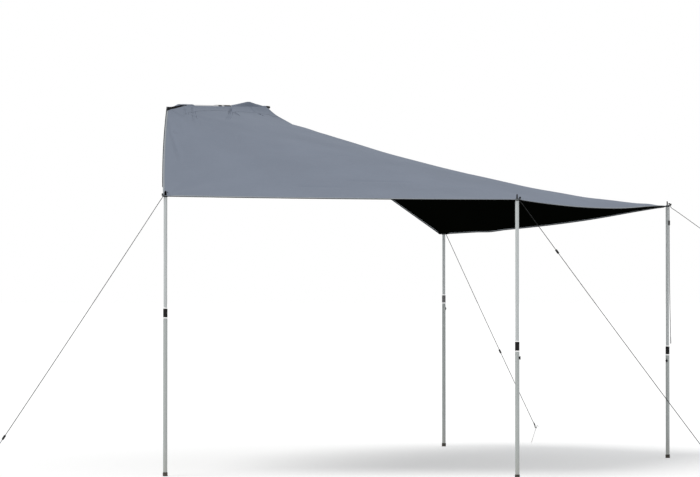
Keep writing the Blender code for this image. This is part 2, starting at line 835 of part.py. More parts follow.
def build_hook(name, distance, wide):
    """The outline lies across the rod: its second direction is up, and it is extruded along the rod."""
    _, way, _ = rod_frame()
    centre = along_rod(distance)
    hook = plate(name, hook_outline(), wide, (0.0, 0.0, -wide / 2))
    hook.data.transform(hook.matrix_world)
    side = Vector((1.0, 0.0, 0.0))
    up = side.cross(way).normalized()
    turn = Matrix((side, up, -way)).transposed().to_4x4()
    hook.matrix_world = Matrix.Translation(centre) @ turn
    bpy.context.view_layer.update()
    place(hook, plastic_black())


# Ropes, sliders and pegs

def peg_frame(number):
    """The peg's foot on the ground, its direction up the shank, and the flat way from pole to peg."""
    x, y = GUYS[number]["to"]
    flat = Vector((x, y, 0.0)).normalized()
    lean = math.radians(PEG_LEAN_DEG)
    up = (flat * math.sin(lean) + Vector((0.0, 0.0, math.cos(lean)))).normalized()
    foot = shifted(pole_point(number, 0.0) + Vector((x, y, PEG_RADIUS * PEG_POINT)))
    return foot, up, flat


def link_eye(number, way_deg):
    way = math.radians(way_deg)
    reach = Vector((math.cos(way), math.sin(way), 0.0)) * LINK_REACH
    return shifted(pole_point(number, link_top(number))) + reach


def smooth_route(points, per_span):
    """Points on one smooth curve through the given ones, closer where the spans are short."""
    ends = [points[0] * 2 - points[1], *points, points[-1] * 2 - points[-2]]
    route = []
    for index in range(1, len(ends) - 2):
        a, b, c, d = ends[index - 1:index + 3]
        times = [0.0]
        for first, second in ((a, b), (b, c), (c, d)):
            times.append(times[-1] + max((second - first).length, 0.000001) ** 0.5)
        for step in range(per_span):
            t = times[1] + (times[2] - times[1]) * step / per_span
            ab = a.lerp(b, (t - times[0]) / (times[1] - times[0]))
            bc = b.lerp(c, (t - times[1]) / (times[2] - times[1]))
            cd = c.lerp(d, (t - times[2]) / (times[3] - times[2]))
            abc = ab.lerp(bc, (t - times[0]) / (times[2] - times[0]))
            bcd = bc.lerp(cd, (t - times[1]) / (times[3] - times[1]))
            route.append(abc.lerp(bcd, (t - times[1]) / (times[2] - times[1])))
    route.append(points[-1])
    return route


def guy_ends(number):
    """Where the taut stretch starts under the link, and where its eye is seized beside the peg."""
    start = link_eye(number, link_ways(number)[0]) - Vector((0.0, 0.0, LINK_THICK + ROPE_BELOW_LINK))
    foot, up, _ = peg_frame(number)
    seat = foot + up * PEG_SEAT
    pull = (start - seat).normalized()
    out = (pull - up * pull.dot(up)).normalized()
    loop = seat + out * (EYE_LOOP - ROPE_RADIUS - PEG_RADIUS - 2 * GAP)
    return start, loop, pull, out


def guy_point(number, share):
    """A point of the taut stretch, which sags a little."""
    start, loop, pull, _ = guy_ends(number)
    end = loop + pull * EYE_TAIL
    point = start.lerp(end, share)
    point.z -= 4 * ROPE_SAG * share * (1 - share)
    return point


def guy_route(number):
    """Down through the link's eye, taut to the peg, round its shank, and back beside itself."""
    eye = link_eye(number, link_ways(number)[0])
    _, loop, pull, out = guy_ends(number)
    side = pull.cross(Vector((0.0, 0.0, 1.0))).normalized()
    top = [
        eye + Vector((0.0, 0.0, ROPE_ABOVE_LINK)),
        eye + Vector((0.0, 0.0, -LINK_THICK / 2)),
        eye + Vector((0.0, 0.0, -LINK_THICK - ROPE_BELOW_LINK * 0.45)),
    ]
    taut = [guy_point(number, share) for share in (0.0, 0.02, *steps_between(0.02, 0.98, 6), 0.98, 1.0)]
    turn = [loop + out * (EYE_LOOP * math.cos(a)) + side * (EYE_LOOP * math.sin(a))
            for a in (math.radians(deg) for deg in (75, 120, 165, 210, 255, 300))]
    tail = [
        loop + pull * EYE_TAIL * 0.55 - side * EYE_TAIL_OFFSET,
        loop + pull * EYE_TAIL - side * EYE_TAIL_OFFSET,
    ]
    return smooth_route(top + taut + turn + tail, 2)


def spare_route():
    """Hanging straight down from the second eye of pole 4's link, with a slight sway near its end."""
    eye = link_eye(4, SPARE_ROPE_DEG)
    drops = (-ROPE_ABOVE_LINK, 0.0, 0.06, 0.16, 0.30, 0.48, 0.68, 0.88, 1.03, SPARE_ROPE_LONG)
    sways = (0.0, 0.0, 0.0, 0.0, 0.0, 0.001, 0.004, 0.009, 0.014, 0.018)
    points = [eye + Vector((sway, -sway, -drop)) for drop, sway in zip(drops, sways)]
    return smooth_route(points, 2)


def build_slider(name, centre, way):
    """A flat runner with rounded ends, bored along its length for the rope."""
    half = SLIDER_LONG / 2
    corner = SLIDER_WIDE / 2
    outline = (arc((half - corner, 0.0), corner, -90.0, 90.0, 8)
               + arc((corner - half, 0.0), corner, 90.0, 270.0, 8))
    slider = plate(name, outline, SLIDER_THICK, (0.0, 0.0, -SLIDER_THICK / 2))
    slider.data.transform(slider.matrix_world)
    side = way.cross(Vector((0.0, 0.0, 1.0)))
    if side.length < 0.1:
        side = Vector((0.0, 1.0, 0.0))
    side.normalize()
    third = way.cross(side).normalized()
    turn = Matrix((way, side, third)).transposed().to_4x4()
    slider.matrix_world = Matrix.Translation(centre) @ turn
    bore = cylinder(name + "_bore", ROPE_RADIUS + ROPE_GAP, SLIDER_LONG * 1.5, centre, way, 12)
    bevel(slider, 0.0012)
    boolean(slider, bore)
    place(slider, plastic_black())


def build_peg(number):
    """A pointed wire stake whose top bends over, away from the pull."""
    foot, up, flat = peg_frame(number)
    shank = [foot + up * (PEG_LONG * share) for share in (0.0, 0.08, 0.5, 0.9, 1.0)]
    across = (flat - up * flat.dot(up)).normalized()
    centre = shank[-1] + across * PEG_HOOK
    bend = [centre - across * (PEG_HOOK * math.cos(a)) + up * (PEG_HOOK * math.sin(a))
            for a in (math.radians(PEG_HOOK_DEG * step / 7) for step in range(1, 8))]
    radii = [PEG_POINT] + [1.0] * (len(shank) - 1 + len(bend))
    peg = tube(f"peg_{number}", shank + bend, PEG_RADIUS, foot, radii)
    model.objects.link(peg)
    peg.data.materials.append(steel())


def build_ropes():
    for number in GUYS:
        route = guy_route(number)
        rope = tube(f"guy_rope_{number}", route, ROPE_RADIUS, route[0])
        model.objects.link(rope)
        rope.data.materials.append(rope_grey())
        share = GUYS[number]["slider"]
        way = (guy_point(number, share + 0.01) - guy_point(number, share - 0.01)).normalized()
        build_slider(f"slider_{number}", guy_point(number, share), way)
        build_peg(number)
    route = spare_route()
    rope = tube("spare_rope", route, ROPE_RADIUS, route[0])
    model.objects.link(rope)
    rope.data.materials.append(rope_grey())
    centre = link_eye(4, SPARE_ROPE_DEG) - Vector((0.0, 0.0, SPARE_SLIDER_DROP))
    build_slider("spare_slider", centre, Vector((0.0, 0.0, -1.0)))


def main():
    clear_scene()
    build_canopy()
    for number in POLES:
        build_corner(number)
        build_pole(number)
    build_roof_side()
    build_ropes()


main()
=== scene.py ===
import math

import bpy
import numpy as np
from mathutils import Matrix, Vector


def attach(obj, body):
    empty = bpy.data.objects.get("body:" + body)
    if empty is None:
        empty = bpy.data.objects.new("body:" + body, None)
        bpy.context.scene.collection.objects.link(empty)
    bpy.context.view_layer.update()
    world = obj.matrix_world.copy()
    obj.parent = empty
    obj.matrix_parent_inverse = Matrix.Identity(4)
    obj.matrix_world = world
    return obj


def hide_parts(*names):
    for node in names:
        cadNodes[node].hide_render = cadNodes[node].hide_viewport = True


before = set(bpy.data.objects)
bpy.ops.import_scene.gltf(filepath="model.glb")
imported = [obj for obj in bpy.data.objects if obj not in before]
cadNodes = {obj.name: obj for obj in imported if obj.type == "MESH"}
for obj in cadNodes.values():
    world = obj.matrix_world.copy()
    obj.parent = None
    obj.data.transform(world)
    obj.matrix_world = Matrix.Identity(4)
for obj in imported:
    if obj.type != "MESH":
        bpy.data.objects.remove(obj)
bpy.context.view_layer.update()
scene = bpy.context.scene
print("frame loaded:", len(cadNodes), "nodes")

# Plan of the awning, in metres. Poles 1 and 2 stand by the roof side, 3 and 4 at the front; 1 and 3 near us.

plan = dict(
    middleX=1.742852,       # from the roof edge to the origin
    roofHalf=0.890,
    roofNearHeight=2.985,
    roofFarHeight=3.066,
    cornerMargin=0.024,     # from a pole to the cloth's tip
    seatRise=0.0038,        # from a pole's shoulder to the cloth's upper face
    cloth=0.0012,
    gap=0.0003,
)

poleSet = {
    1: dict(x=0.960, y=-2.583, height=2.170, lower=1.231),
    2: dict(x=0.960, y=2.583, height=1.969, lower=1.333),
    3: dict(x=3.519, y=-1.633, height=2.134, lower=0.978),
    4: dict(x=3.519, y=1.633, height=2.169, lower=0.893),
}


def unit(vector):
    vector = np.asarray(vector, float)
    return vector / np.linalg.norm(vector)


def polePoint(number, height=0.0):
    pole = poleSet[number]
    return np.array([pole["x"] - plan["middleX"], pole["y"], height])


def roofCorner(side):
    height = plan["roofNearHeight"] if side < 0 else plan["roofFarHeight"]
    return np.array([-plan["middleX"], side * plan["roofHalf"], height])


def edgeWays(number):  # the flat directions of the two cloth edges that meet over a pole
    neighbours = {
        1: (roofCorner(-1), polePoint(3)),
        2: (roofCorner(1), polePoint(4)),
        3: (polePoint(1), polePoint(4)),
        4: (polePoint(2), polePoint(3)),
    }[number]
    flat = np.array([1.0, 1.0, 0.0])
    return [unit((point - polePoint(number)) * flat) for point in neighbours]


def clothCorner(number):
    first, second = edgeWays(number)
    seat = polePoint(number, poleSet[number]["height"] + plan["seatRise"])
    return seat - unit(first + second) * plan["cornerMargin"]


# Small helpers for places, paths and meshes

smoothing = dict(pieces=38.0, grown=50.0)       # an edge that bends by more degrees than this stays sharp


def upBy(height):
    return np.array([0.0, 0.0, height])


def flatWay(turn):
    return np.array([math.cos(turn), math.sin(turn), 0.0])


def fullTurn(count):
    return np.linspace(0, 2 * math.pi, count, endpoint=False)


def runLengths(points):  # how far along the path each point lies
    return np.concatenate([[0.0], np.cumsum(np.linalg.norm(np.diff(points, axis=0), axis=1))])


def blockRim(lowRow, highRow, lowColumn, highColumn):  # the places round a block of a grid, in order
    rim = [(i, lowColumn) for i in range(lowRow, highRow)]
    rim += [(highRow, j) for j in range(lowColumn, highColumn)]
    rim += [(i, highColumn) for i in range(highRow, lowRow, -1)]
    return rim + [(lowRow, j) for j in range(highColumn, lowColumn, -1)]


def meshPiece(name, shell, slotName, *finishes, body="awning", faceFinish=None):
    verts, faces, corners = shell       # the corners are the map's, one for each corner of each face
    mesh = bpy.data.meshes.new(name)
    mesh.from_pydata([tuple(map(float, v)) for v in verts], [], [tuple(map(int, f)) for f in faces])
    for finish in finishes:
        mesh.materials.append(finish)
    if faceFinish is not None:
        mesh.polygons.foreach_set("material_index", np.asarray(faceFinish, np.int32))
    layer = mesh.uv_layers.new(name="UVMap")
    layer.data.foreach_set("uv", np.asarray(corners, np.float32).ravel())
    mesh.shade_smooth()
    mesh.set_sharp_from_angle(angle=math.radians(smoothing["pieces"]))
    return addPiece(name, mesh, body)


def addPiece(name, mesh, body="awning"):
    mesh.name = name
    piece = bpy.data.objects.new(name, mesh)
    scene.collection.objects.link(piece)
    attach(piece, body)
    return piece


def joinShells(shells):
    verts, faces, corners = [], [], []
    for shellVerts, shellFaces, shellCorners in shells:
        start = len(verts)
        verts.extend(shellVerts)
        faces.extend([tuple(index + start for index in face) for face in shellFaces])
        corners.extend(shellCorners)
    return verts, faces, corners


def pathFrames(points, closed=False):  # directions along a path with a side that doesn't twist
    points = np.asarray(points, float)
    if closed:
        ways = np.roll(points, -1, axis=0) - np.roll(points, 1, axis=0)
    else:
        ways = np.gradient(points, axis=0)
    ways /= np.linalg.norm(ways, axis=1, keepdims=True)
    side = np.cross(ways[0], (0.0, 0.0, 1.0) if abs(ways[0][2]) < 0.9 else (1.0, 0.0, 0.0))
    sides = []
    for way in ways:
        side = side - way * side.dot(way)
        side /= np.linalg.norm(side)
        sides.append(side.copy())
    sides = np.array(sides)
    if closed:  # the leftover turn is shared out, so the seam meets
        end = sides[-1] - ways[0] * sides[-1].dot(ways[0])
        turn = math.atan2(np.cross(sides[0], unit(end)).dot(ways[0]), sides[0].dot(unit(end)))
        third = np.cross(ways, sides)
        share = -turn * np.arange(len(points)) / (len(points) - 1)
        sides = sides * np.cos(share)[:, None] + third * np.sin(share)[:, None]
    return ways, sides, np.cross(ways, sides)


def ringWall(rings, across, lengths, ends=None):  # rings of points, joined in order; a loop if it has no ends
    count, around = len(rings), len(rings[0])
    verts = [tuple(v) for ring in rings for v in ring]
    faces, corners = [], []
    for row in range(count - 1 if ends else count):
        after = (row + 1) % count
        low, high = lengths[row], lengths[row + 1]
        for k in range(around):
            m = (k + 1) % around
            faces.append((row * around + k, row * around + m, after * around + m, after * around + k))
            corners += [(across[k], low), (across[k + 1], low), (across[k + 1], high), (across[k], high)]
    if ends:
        faces.append(tuple(reversed(range(around))))
        faces.append(tuple((count - 1) * around + k for k in range(around)))
        corners += [ends[0]] * around + [ends[1]] * around
    return verts, faces, corners


def tubeAlong(points, radius, around, closed=False):
    points = np.asarray(points, float)
    _, sides, thirds = pathFrames(points, closed)
    turns = fullTurn(around)
    radii = np.broadcast_to(np.asarray(radius, float), len(points))[:, None, None]
    rings = (points[:, None]
             + sides[:, None] * (np.cos(turns)[None, :, None] * radii)
             + thirds[:, None] * (np.sin(turns)[None, :, None] * radii))
    lengths = runLengths(points)
    ends = None if closed else ((0.5, 0.0), (0.5, float(lengths[-1])))
    lengths = np.append(lengths, lengths[-1] + np.linalg.norm(points[0] - points[-1]))
    return ringWall(rings, [k / around for k in range(around + 1)], lengths, ends)


def zipRings(outer, inner, points, middle):  # faces between two rings of vertex numbers round a point
    def ordered(ring):
        turns = [math.atan2(points[i][1] - middle[1], points[i][0] - middle[0]) for i in ring]
        order = sorted(range(len(ring)), key=lambda k: turns[k])
        return [ring[k] for k in order], [turns[k] for k in order]

    outerRing, outerTurns = ordered(outer)
    innerRing, innerTurns = ordered(inner)
    faces = []
    a = b = 0
    while a < len(outerRing) or b < len(innerRing):
        nextOuter = outerTurns[a + 1] if a + 1 < len(outerRing) else outerTurns[0] + 2 * math.pi
        nextInner = innerTurns[b + 1] if b + 1 < len(innerRing) else innerTurns[0] + 2 * math.pi
        here, there = outerRing[a % len(outerRing)], innerRing[b % len(innerRing)]
        if b >= len(innerRing) or (a < len(outerRing) and nextOuter < nextInner):
            faces.append((here, outerRing[(a + 1) % len(outerRing)], there))
            a += 1
        else:
            faces.append((here, innerRing[(b + 1) % len(innerRing)], there))
            b += 1
    return faces


# Node trees: what more than one finish or more than one piece uses

def addNode(tree, kind, x, y, **settings):
    node = tree.nodes.new(kind)
    node.location = (x, y)
    for name, value in settings.items():
        setattr(node, name, value)
    return node


def feed(tree, socket, value):  # another node's output is linked, and a constant goes on the socket itself
    if isinstance(value, bpy.types.NodeSocket):
        tree.links.new(value, socket)
    else:
        socket.default_value = value


def fedNode(tree, kind, x, y, inputs, **settings):  # a node with its inputs given by name or number
    node = addNode(tree, kind, x, y, **settings)
    for key, value in inputs.items():
        feed(tree, node.inputs[key], value)
    return node


def mathNode(tree, operation, x, y, *values):
    return fedNode(tree, "ShaderNodeMath", x, y, dict(enumerate(values)), operation=operation).outputs[0]


def newGroup(name, kind, inputs, outputs):
    tree = bpy.data.node_groups.new(name, kind)
    for label, socketType, value in inputs:
        socket = tree.interface.new_socket(name=label, in_out="INPUT", socket_type=socketType)
        if value is not None:
            socket.default_value = value
    for label, socketType in outputs:
        tree.interface.new_socket(name=label, in_out="OUTPUT", socket_type=socketType)
    start = addNode(tree, "NodeGroupInput", -900, 0)
    end = addNode(tree, "NodeGroupOutput", 900, 0)
    return tree, start.outputs, end.inputs


floatSocket, vectorSocket = "NodeSocketFloat", "NodeSocketVector"


def buildWovenThreads():  # plain weave with slubs, on a vector in metres
    tree, given, made = newGroup(
        "wovenThreads", "ShaderNodeTree",
        [("Vector", vectorSocket, None), ("Threads", floatSocket, 1400.0), ("Slub", floatSocket, 0.35)],
        [("Height", floatSocket), ("Tone", floatSocket)])
    scaled = fedNode(tree, "ShaderNodeVectorMath", -700, 100,
                     {0: given["Vector"], "Scale": given["Threads"]}, operation="SCALE")
    split = fedNode(tree, "ShaderNodeSeparateXYZ", -520, 100, {0: scaled.outputs[0]})
    warp = mathNode(tree, "SINE", -340, 180, split.outputs[0])
    weft = mathNode(tree, "SINE", -340, 20, split.outputs[1])
    crossing = mathNode(tree, "MULTIPLY", -160, 100, warp, weft)
    stretched = fedNode(tree, "ShaderNodeMapping", -520, -180,
                        {"Scale": (22.0, 240.0, 22.0), "Vector": given["Vector"]})
    slubs = fedNode(tree, "ShaderNodeTexNoise", -340, -180,
                    {"Scale": 1.0, "Detail": 3.0, "Vector": stretched.outputs[0]})
    slubHeight = mathNode(tree, "MULTIPLY", -160, -100, slubs.outputs["Fac"], given["Slub"])
    feed(tree, made["Height"], mathNode(tree, "MULTIPLY_ADD", 40, 60, crossing, 0.5, slubHeight))
    feed(tree, made["Tone"], slubs.outputs["Fac"])
    return tree


def buildHandledCloth():  # broad soft creases and faint patches of use, on a vector in metres
    tree, given, made = newGroup(
        "handledCloth", "ShaderNodeTree",
        [("Vector", vectorSocket, None), ("Crease", floatSocket, 5.0), ("Patch", floatSocket, 1.3)],
        [("Height", floatSocket), ("Patch", floatSocket)])
    creasing = fedNode(tree, "ShaderNodeTexNoise", -500, 120,
                       {"Detail": 4.0, "Roughness": 0.45, "Distortion": 0.6, "Vector": given["Vector"],
                        "Scale": given["Crease"]})
    folded = mathNode(tree, "SUBTRACT", -300, 120, creasing.outputs["Fac"], 0.5)
    folded = mathNode(tree, "ABSOLUTE", -140, 120, folded)
    feed(tree, made["Height"], mathNode(tree, "POWER", 20, 120, folded, 0.6))
    patches = fedNode(tree, "ShaderNodeTexNoise", -500, -160,
                      {"Detail": 5.0, "Vector": given["Vector"], "Scale": given["Patch"]})
    spread = fedNode(tree, "ShaderNodeMapRange", -260, -160,
                     {"From Min": 0.35, "From Max": 0.65, "Value": patches.outputs["Fac"]})
    feed(tree, made["Patch"], spread.outputs[0])
    return tree


def buildDrawnMetal():  # fine lines along one direction, and scuffs
    tree, given, made = newGroup(
        "drawnMetal", "ShaderNodeTree",
        [("Vector", vectorSocket, None), ("Along", vectorSocket, (900.0, 900.0, 12.0)),
         ("Scuff", floatSocket, 26.0)],
        [("Lines", floatSocket), ("Scuffs", floatSocket)])
    stretched = fedNode(tree, "ShaderNodeVectorMath", -600, 120, {0: given["Vector"], 1: given["Along"]},
                        operation="MULTIPLY")
    lines = fedNode(tree, "ShaderNodeTexNoise", -400, 120,
                    {"Scale": 1.0, "Detail": 2.0, "Vector": stretched.outputs[0]})
    scuffs = fedNode(tree, "ShaderNodeTexNoise", -400, -160,
                     {"Detail": 6.0, "Roughness": 0.7, "Vector": given["Vector"], "Scale": given["Scuff"]})
    worn = fedNode(tree, "ShaderNodeMapRange", -160, -160,
                   {"From Min": 0.56, "From Max": 0.72, "Value": scuffs.outputs["Fac"]})
    feed(tree, made["Lines"], lines.outputs["Fac"])
    feed(tree, made["Scuffs"], worn.outputs[0])
    return tree


def buildMouldedGrain():  # fine spark grain of moulded plastic or rubber, with rubbed places
    tree, given, made = newGroup(
        "mouldedGrain", "ShaderNodeTree",
        [("Vector", vectorSocket, None), ("Grain", floatSocket, 1600.0), ("Rub", floatSocket, 60.0)],
        [("Height", floatSocket), ("Rubbed", floatSocket)])
    grain = fedNode(tree, "ShaderNodeTexVoronoi", -400, 120,
                    {"Vector": given["Vector"], "Scale": given["Grain"]})
    rub = fedNode(tree, "ShaderNodeTexNoise", -400, -160,
                  {"Detail": 5.0, "Vector": given["Vector"], "Scale": given["Rub"]})
    rubbed = fedNode(tree, "ShaderNodeMapRange", -160, -160,
                     {"From Min": 0.5, "From Max": 0.75, "Value": rub.outputs["Fac"]})
    feed(tree, made["Height"], grain.outputs["Distance"])
    feed(tree, made["Rubbed"], rubbed.outputs[0])
    return tree


def buildSettledDust():  # pale dust that thins out above the ground
    tree, given, made = newGroup(
        "settledDust", "ShaderNodeTree",
        [("Vector", vectorSocket, None), ("Low", floatSocket, 0.0), ("High", floatSocket, 0.18),
         ("Amount", floatSocket, 0.4)],
        [("Mask", floatSocket)])
    split = fedNode(tree, "ShaderNodeSeparateXYZ", -600, 120, {0: given["Vector"]})
    height = fedNode(tree, "ShaderNodeMapRange", -400, 120,
                     {"To Min": 1.0, "To Max": 0.0, "Value": split.outputs[2], "From Min": given["Low"],
                      "From Max": given["High"]})
    specks = fedNode(tree, "ShaderNodeTexNoise", -400, -160,
                     {"Scale": 140.0, "Detail": 5.0, "Vector": given["Vector"]})
    cloud = mathNode(tree, "MULTIPLY", -160, 0, height.outputs[0], specks.outputs["Fac"])
    feed(tree, made["Mask"], mathNode(tree, "MULTIPLY", 40, 0, cloud, given["Amount"]))
    return tree


def buildBraidedCord():  # crossing strands round a cord, on its own map: turns across, metres along
    tree, given, made = newGroup(
        "braidedCord", "ShaderNodeTree",
        [("Vector", vectorSocket, None), ("Strands", floatSocket, 8.0), ("Pitch", floatSocket, 130.0)],
        [("Height", floatSocket), ("Tracer", floatSocket)])
    split = fedNode(tree, "ShaderNodeSeparateXYZ", -760, 0, {0: given["Vector"]})
    turn = mathNode(tree, "MULTIPLY", -580, 120, split.outputs[0], given["Strands"])
    along = mathNode(tree, "MULTIPLY", -580, -80, split.outputs[1], given["Pitch"])
    right = mathNode(tree, "ADD", -400, 120, turn, along)
    left = mathNode(tree, "SUBTRACT", -400, -80, turn, along)
    rightWave, leftWave = (
        mathNode(tree, "SINE", -80, y, mathNode(tree, "MULTIPLY", -240, y, strand, math.pi))
        for y, strand in ((120, right), (-80, left)))
    crossing = mathNode(tree, "MULTIPLY", 80, 20, rightWave, leftWave)
    feed(tree, made["Height"], mathNode(tree, "ABSOLUTE", 240, 20, crossing))
    place = mathNode(tree, "FRACT", 80, -220, mathNode(tree, "MULTIPLY", -80, -220, right, 0.125))
    feed(tree, made["Tracer"], mathNode(tree, "GREATER_THAN", 240, -220, place, 0.875))
    return tree


wovenThreads = buildWovenThreads()
handledCloth = buildHandledCloth()
drawnMetal = buildDrawnMetal()
mouldedGrain = buildMouldedGrain()
settledDust = buildSettledDust()
braidedCord = buildBraidedCord()

shaderSockets = dict(roughness="Roughness", metallic="Metallic", specular="Specular IOR Level",
                     sheen="Sheen Weight")


def newFinish(name, **constants):  # the constants are set straight on the shader
    finish = bpy.data.materials.new(name)
    finish.use_nodes = True
    tree = finish.node_tree
    shader = tree.nodes["Principled BSDF"]
    for label, value in constants.items():
        shader.inputs[shaderSockets[label]].default_value = value
    coordinates = addNode(tree, "ShaderNodeTexCoord", -1300, 0).outputs
    return finish, tree, shader.inputs, coordinates


def useGroup(tree, group, x, y, vector, **values):
    return fedNode(tree, "ShaderNodeGroup", x, y, {"Vector": vector, **values}, node_tree=group)


def mixColour(tree, x, y, factor, first, second):
    node = fedNode(tree, "ShaderNodeMix", x, y, {"Factor": factor}, data_type="RGBA")
    colours = [socket for socket in node.inputs if socket.type == "RGBA"]
    for socket, value in zip(colours, (first, second)):
        feed(tree, socket, (*value, 1.0) if isinstance(value, tuple) else value)
    return [socket for socket in node.outputs if socket.type == "RGBA"][0]


def bumpFrom(tree, x, y, height, distance, strength=1.0, below=None):
    inputs = {"Distance": distance, "Strength": strength, "Height": height}
    if below is not None:
        inputs["Normal"] = below
    return fedNode(tree, "ShaderNodeBump", x, y, inputs).outputs["Normal"]


def shaded(colour, share):
    return tuple(min(1.0, c * share) for c in colour)


clothLook = dict(slubShade=0.8, weaveDepth=0.00012, weaveStrength=0.6)
metalLook = dict(lineDark=0.93, lineLight=1.05, lineRough=0.12, lineDepth=0.00004, lineStrength=0.5,
                 scuffShare=0.5, scuffRough=0.15, dust=(0.42, 0.38, 0.32), dustShare=0.55)
mouldedLook = dict(rubShare=0.6, rubRough=-0.12, grainStrength=0.6, dust=(0.34, 0.30, 0.25), dustShare=0.8)
# between: the share the cord's colour falls to between the braid's strands, painted shade in the grooves.
cordLook = dict(between=0.55, tracerShare=0.7, depth=0.0004, strength=0.8)


def clothFinish(name, colour, patchShare, threads, roughness, specular, sheen, creaseDepth):
    finish, tree, shader, coordinates = newFinish(name, roughness=roughness, specular=specular, sheen=sheen)
    vector = coordinates["UV"]
    weave = useGroup(tree, wovenThreads, -900, 200, vector, Threads=threads)
    handled = useGroup(tree, handledCloth, -900, -100, vector)
    tone = mixColour(tree, -600, 100, handled.outputs["Patch"], shaded(colour, 1 - patchShare),
                     shaded(colour, 1 + patchShare))
    slubTone = mathNode(tree, "MULTIPLY", -600, 300, weave.outputs["Tone"], patchShare * 2)
    feed(tree, shader["Base Color"],
         mixColour(tree, -350, 150, slubTone, tone, shaded(colour, clothLook["slubShade"])))
    creased = bumpFrom(tree, -500, -150, handled.outputs["Height"], creaseDepth)
    feed(tree, shader["Normal"], bumpFrom(tree, -250, -150, weave.outputs["Height"], clothLook["weaveDepth"],
                                          clothLook["weaveStrength"], creased))
    return finish


def metalFinish(name, colour, worn, along, roughness, metallic, dustHigh=None, specular=0.5):
    finish, tree, shader, coordinates = newFinish(name, metallic=metallic, specular=specular)
    vector = coordinates["Object"]
    drawn = useGroup(tree, drawnMetal, -900, 100, vector, Along=along)
    lined = mixColour(tree, -600, 200, drawn.outputs["Lines"], shaded(colour, metalLook["lineDark"]),
                      shaded(colour, metalLook["lineLight"]))
    scuffs = mathNode(tree, "MULTIPLY", -600, 0, drawn.outputs["Scuffs"], metalLook["scuffShare"])
    shade = mixColour(tree, -400, 200, scuffs, lined, worn)
    if dustHigh is not None:
        dust = useGroup(tree, settledDust, -900, -250, vector, High=dustHigh, Amount=metalLook["dustShare"])
        shade = mixColour(tree, -200, 200, dust.outputs["Mask"], shade, metalLook["dust"])
    feed(tree, shader["Base Color"], shade)
    rough = mathNode(tree, "MULTIPLY_ADD", -400, -50, drawn.outputs["Scuffs"], metalLook["scuffRough"],
                     roughness)
    feed(tree, shader["Roughness"],
         mathNode(tree, "MULTIPLY_ADD", -200, -50, drawn.outputs["Lines"], metalLook["lineRough"], rough))
    feed(tree, shader["Normal"], bumpFrom(tree, -200, -250, drawn.outputs["Lines"], metalLook["lineDepth"],
                                          metalLook["lineStrength"]))
    return finish


def mouldedFinish(name, colour, rubbed, grain, roughness, depth, dustHigh=None, specular=0.5):
    finish, tree, shader, coordinates = newFinish(name, specular=specular)
    vector = coordinates["Object"]
    moulded = useGroup(tree, mouldedGrain, -900, 100, vector, Grain=grain)
    wear = mathNode(tree, "MULTIPLY", -700, 0, moulded.outputs["Rubbed"], mouldedLook["rubShare"])
    shade = mixColour(tree, -500, 200, wear, colour, rubbed)
    if dustHigh is not None:
        dust = useGroup(tree, settledDust, -900, -250, vector, High=dustHigh, Amount=mouldedLook["dustShare"])
        shade = mixColour(tree, -300, 200, dust.outputs["Mask"], shade, mouldedLook["dust"])
    feed(tree, shader["Base Color"], shade)
    feed(tree, shader["Roughness"], mathNode(tree, "MULTIPLY_ADD", -300, -50, moulded.outputs["Rubbed"],
                                             mouldedLook["rubRough"], roughness))
    feed(tree, shader["Normal"], bumpFrom(tree, -300, -250, moulded.outputs["Height"], depth,
                                          mouldedLook["grainStrength"]))
    return finish


def cordFinish(name, colour, tracer, strands, pitch):
    finish, tree, shader, coordinates = newFinish(name, roughness=0.85, specular=0.12, sheen=0.05)
    braid = useGroup(tree, braidedCord, -900, 100, coordinates["UV"], Strands=strands, Pitch=pitch)
    # The grooves between the strands are darkened: painted shade.
    deep = mixColour(tree, -500, 200, braid.outputs["Height"], shaded(colour, cordLook["between"]), colour)
    traced = mathNode(tree, "MULTIPLY", -500, 0, braid.outputs["Tracer"], cordLook["tracerShare"])
    feed(tree, shader["Base Color"], mixColour(tree, -300, 200, traced, deep, tracer))
    feed(tree, shader["Normal"], bumpFrom(tree, -300, -150, braid.outputs["Height"], cordLook["depth"],
                                          cordLook["strength"]))
    return finish


canopyTop = clothFinish("canopyTop", (0.226, 0.258, 0.322), 0.035, 4200.0, 0.88, 0.15, 0.03, 0.0035)
# The underside is black coated cloth drawn darker than black cloth: partly its real colour, partly painted
# shade.
canopyUnderBlackAndShade = clothFinish("canopyUnderBlackAndShade", (0.0017, 0.0021, 0.0014), 0.10, 4200.0, 1.0, 0.0, 0.0, 0.003)
hemGrey = clothFinish("hemGrey", (0.36, 0.39, 0.42), 0.05, 2600.0, 0.9, 0.2, 0.05, 0.0006)
webbingBlack = clothFinish("webbingBlack", (0.0050, 0.0050, 0.0055), 0.15, 1900.0, 0.95, 0.08, 0.0, 0.0004)
threadGrey = cordFinish("threadGrey", (0.33, 0.36, 0.41), (0.42, 0.45, 0.50), 3.0, 900.0)
threadBlack = cordFinish("threadBlack", (0.02, 0.02, 0.022), (0.05, 0.05, 0.055), 3.0, 900.0)
poleLines, rodLines = (900.0, 900.0, 9.0), (900.0, 9.0, 900.0)     # drawn along the poles and along the rod
poleAlloy = metalFinish("poleAlloy", (0.50, 0.53, 0.52), (0.62, 0.63, 0.62), poleLines,
                        0.42, 0.25, 0.25, 0.2)
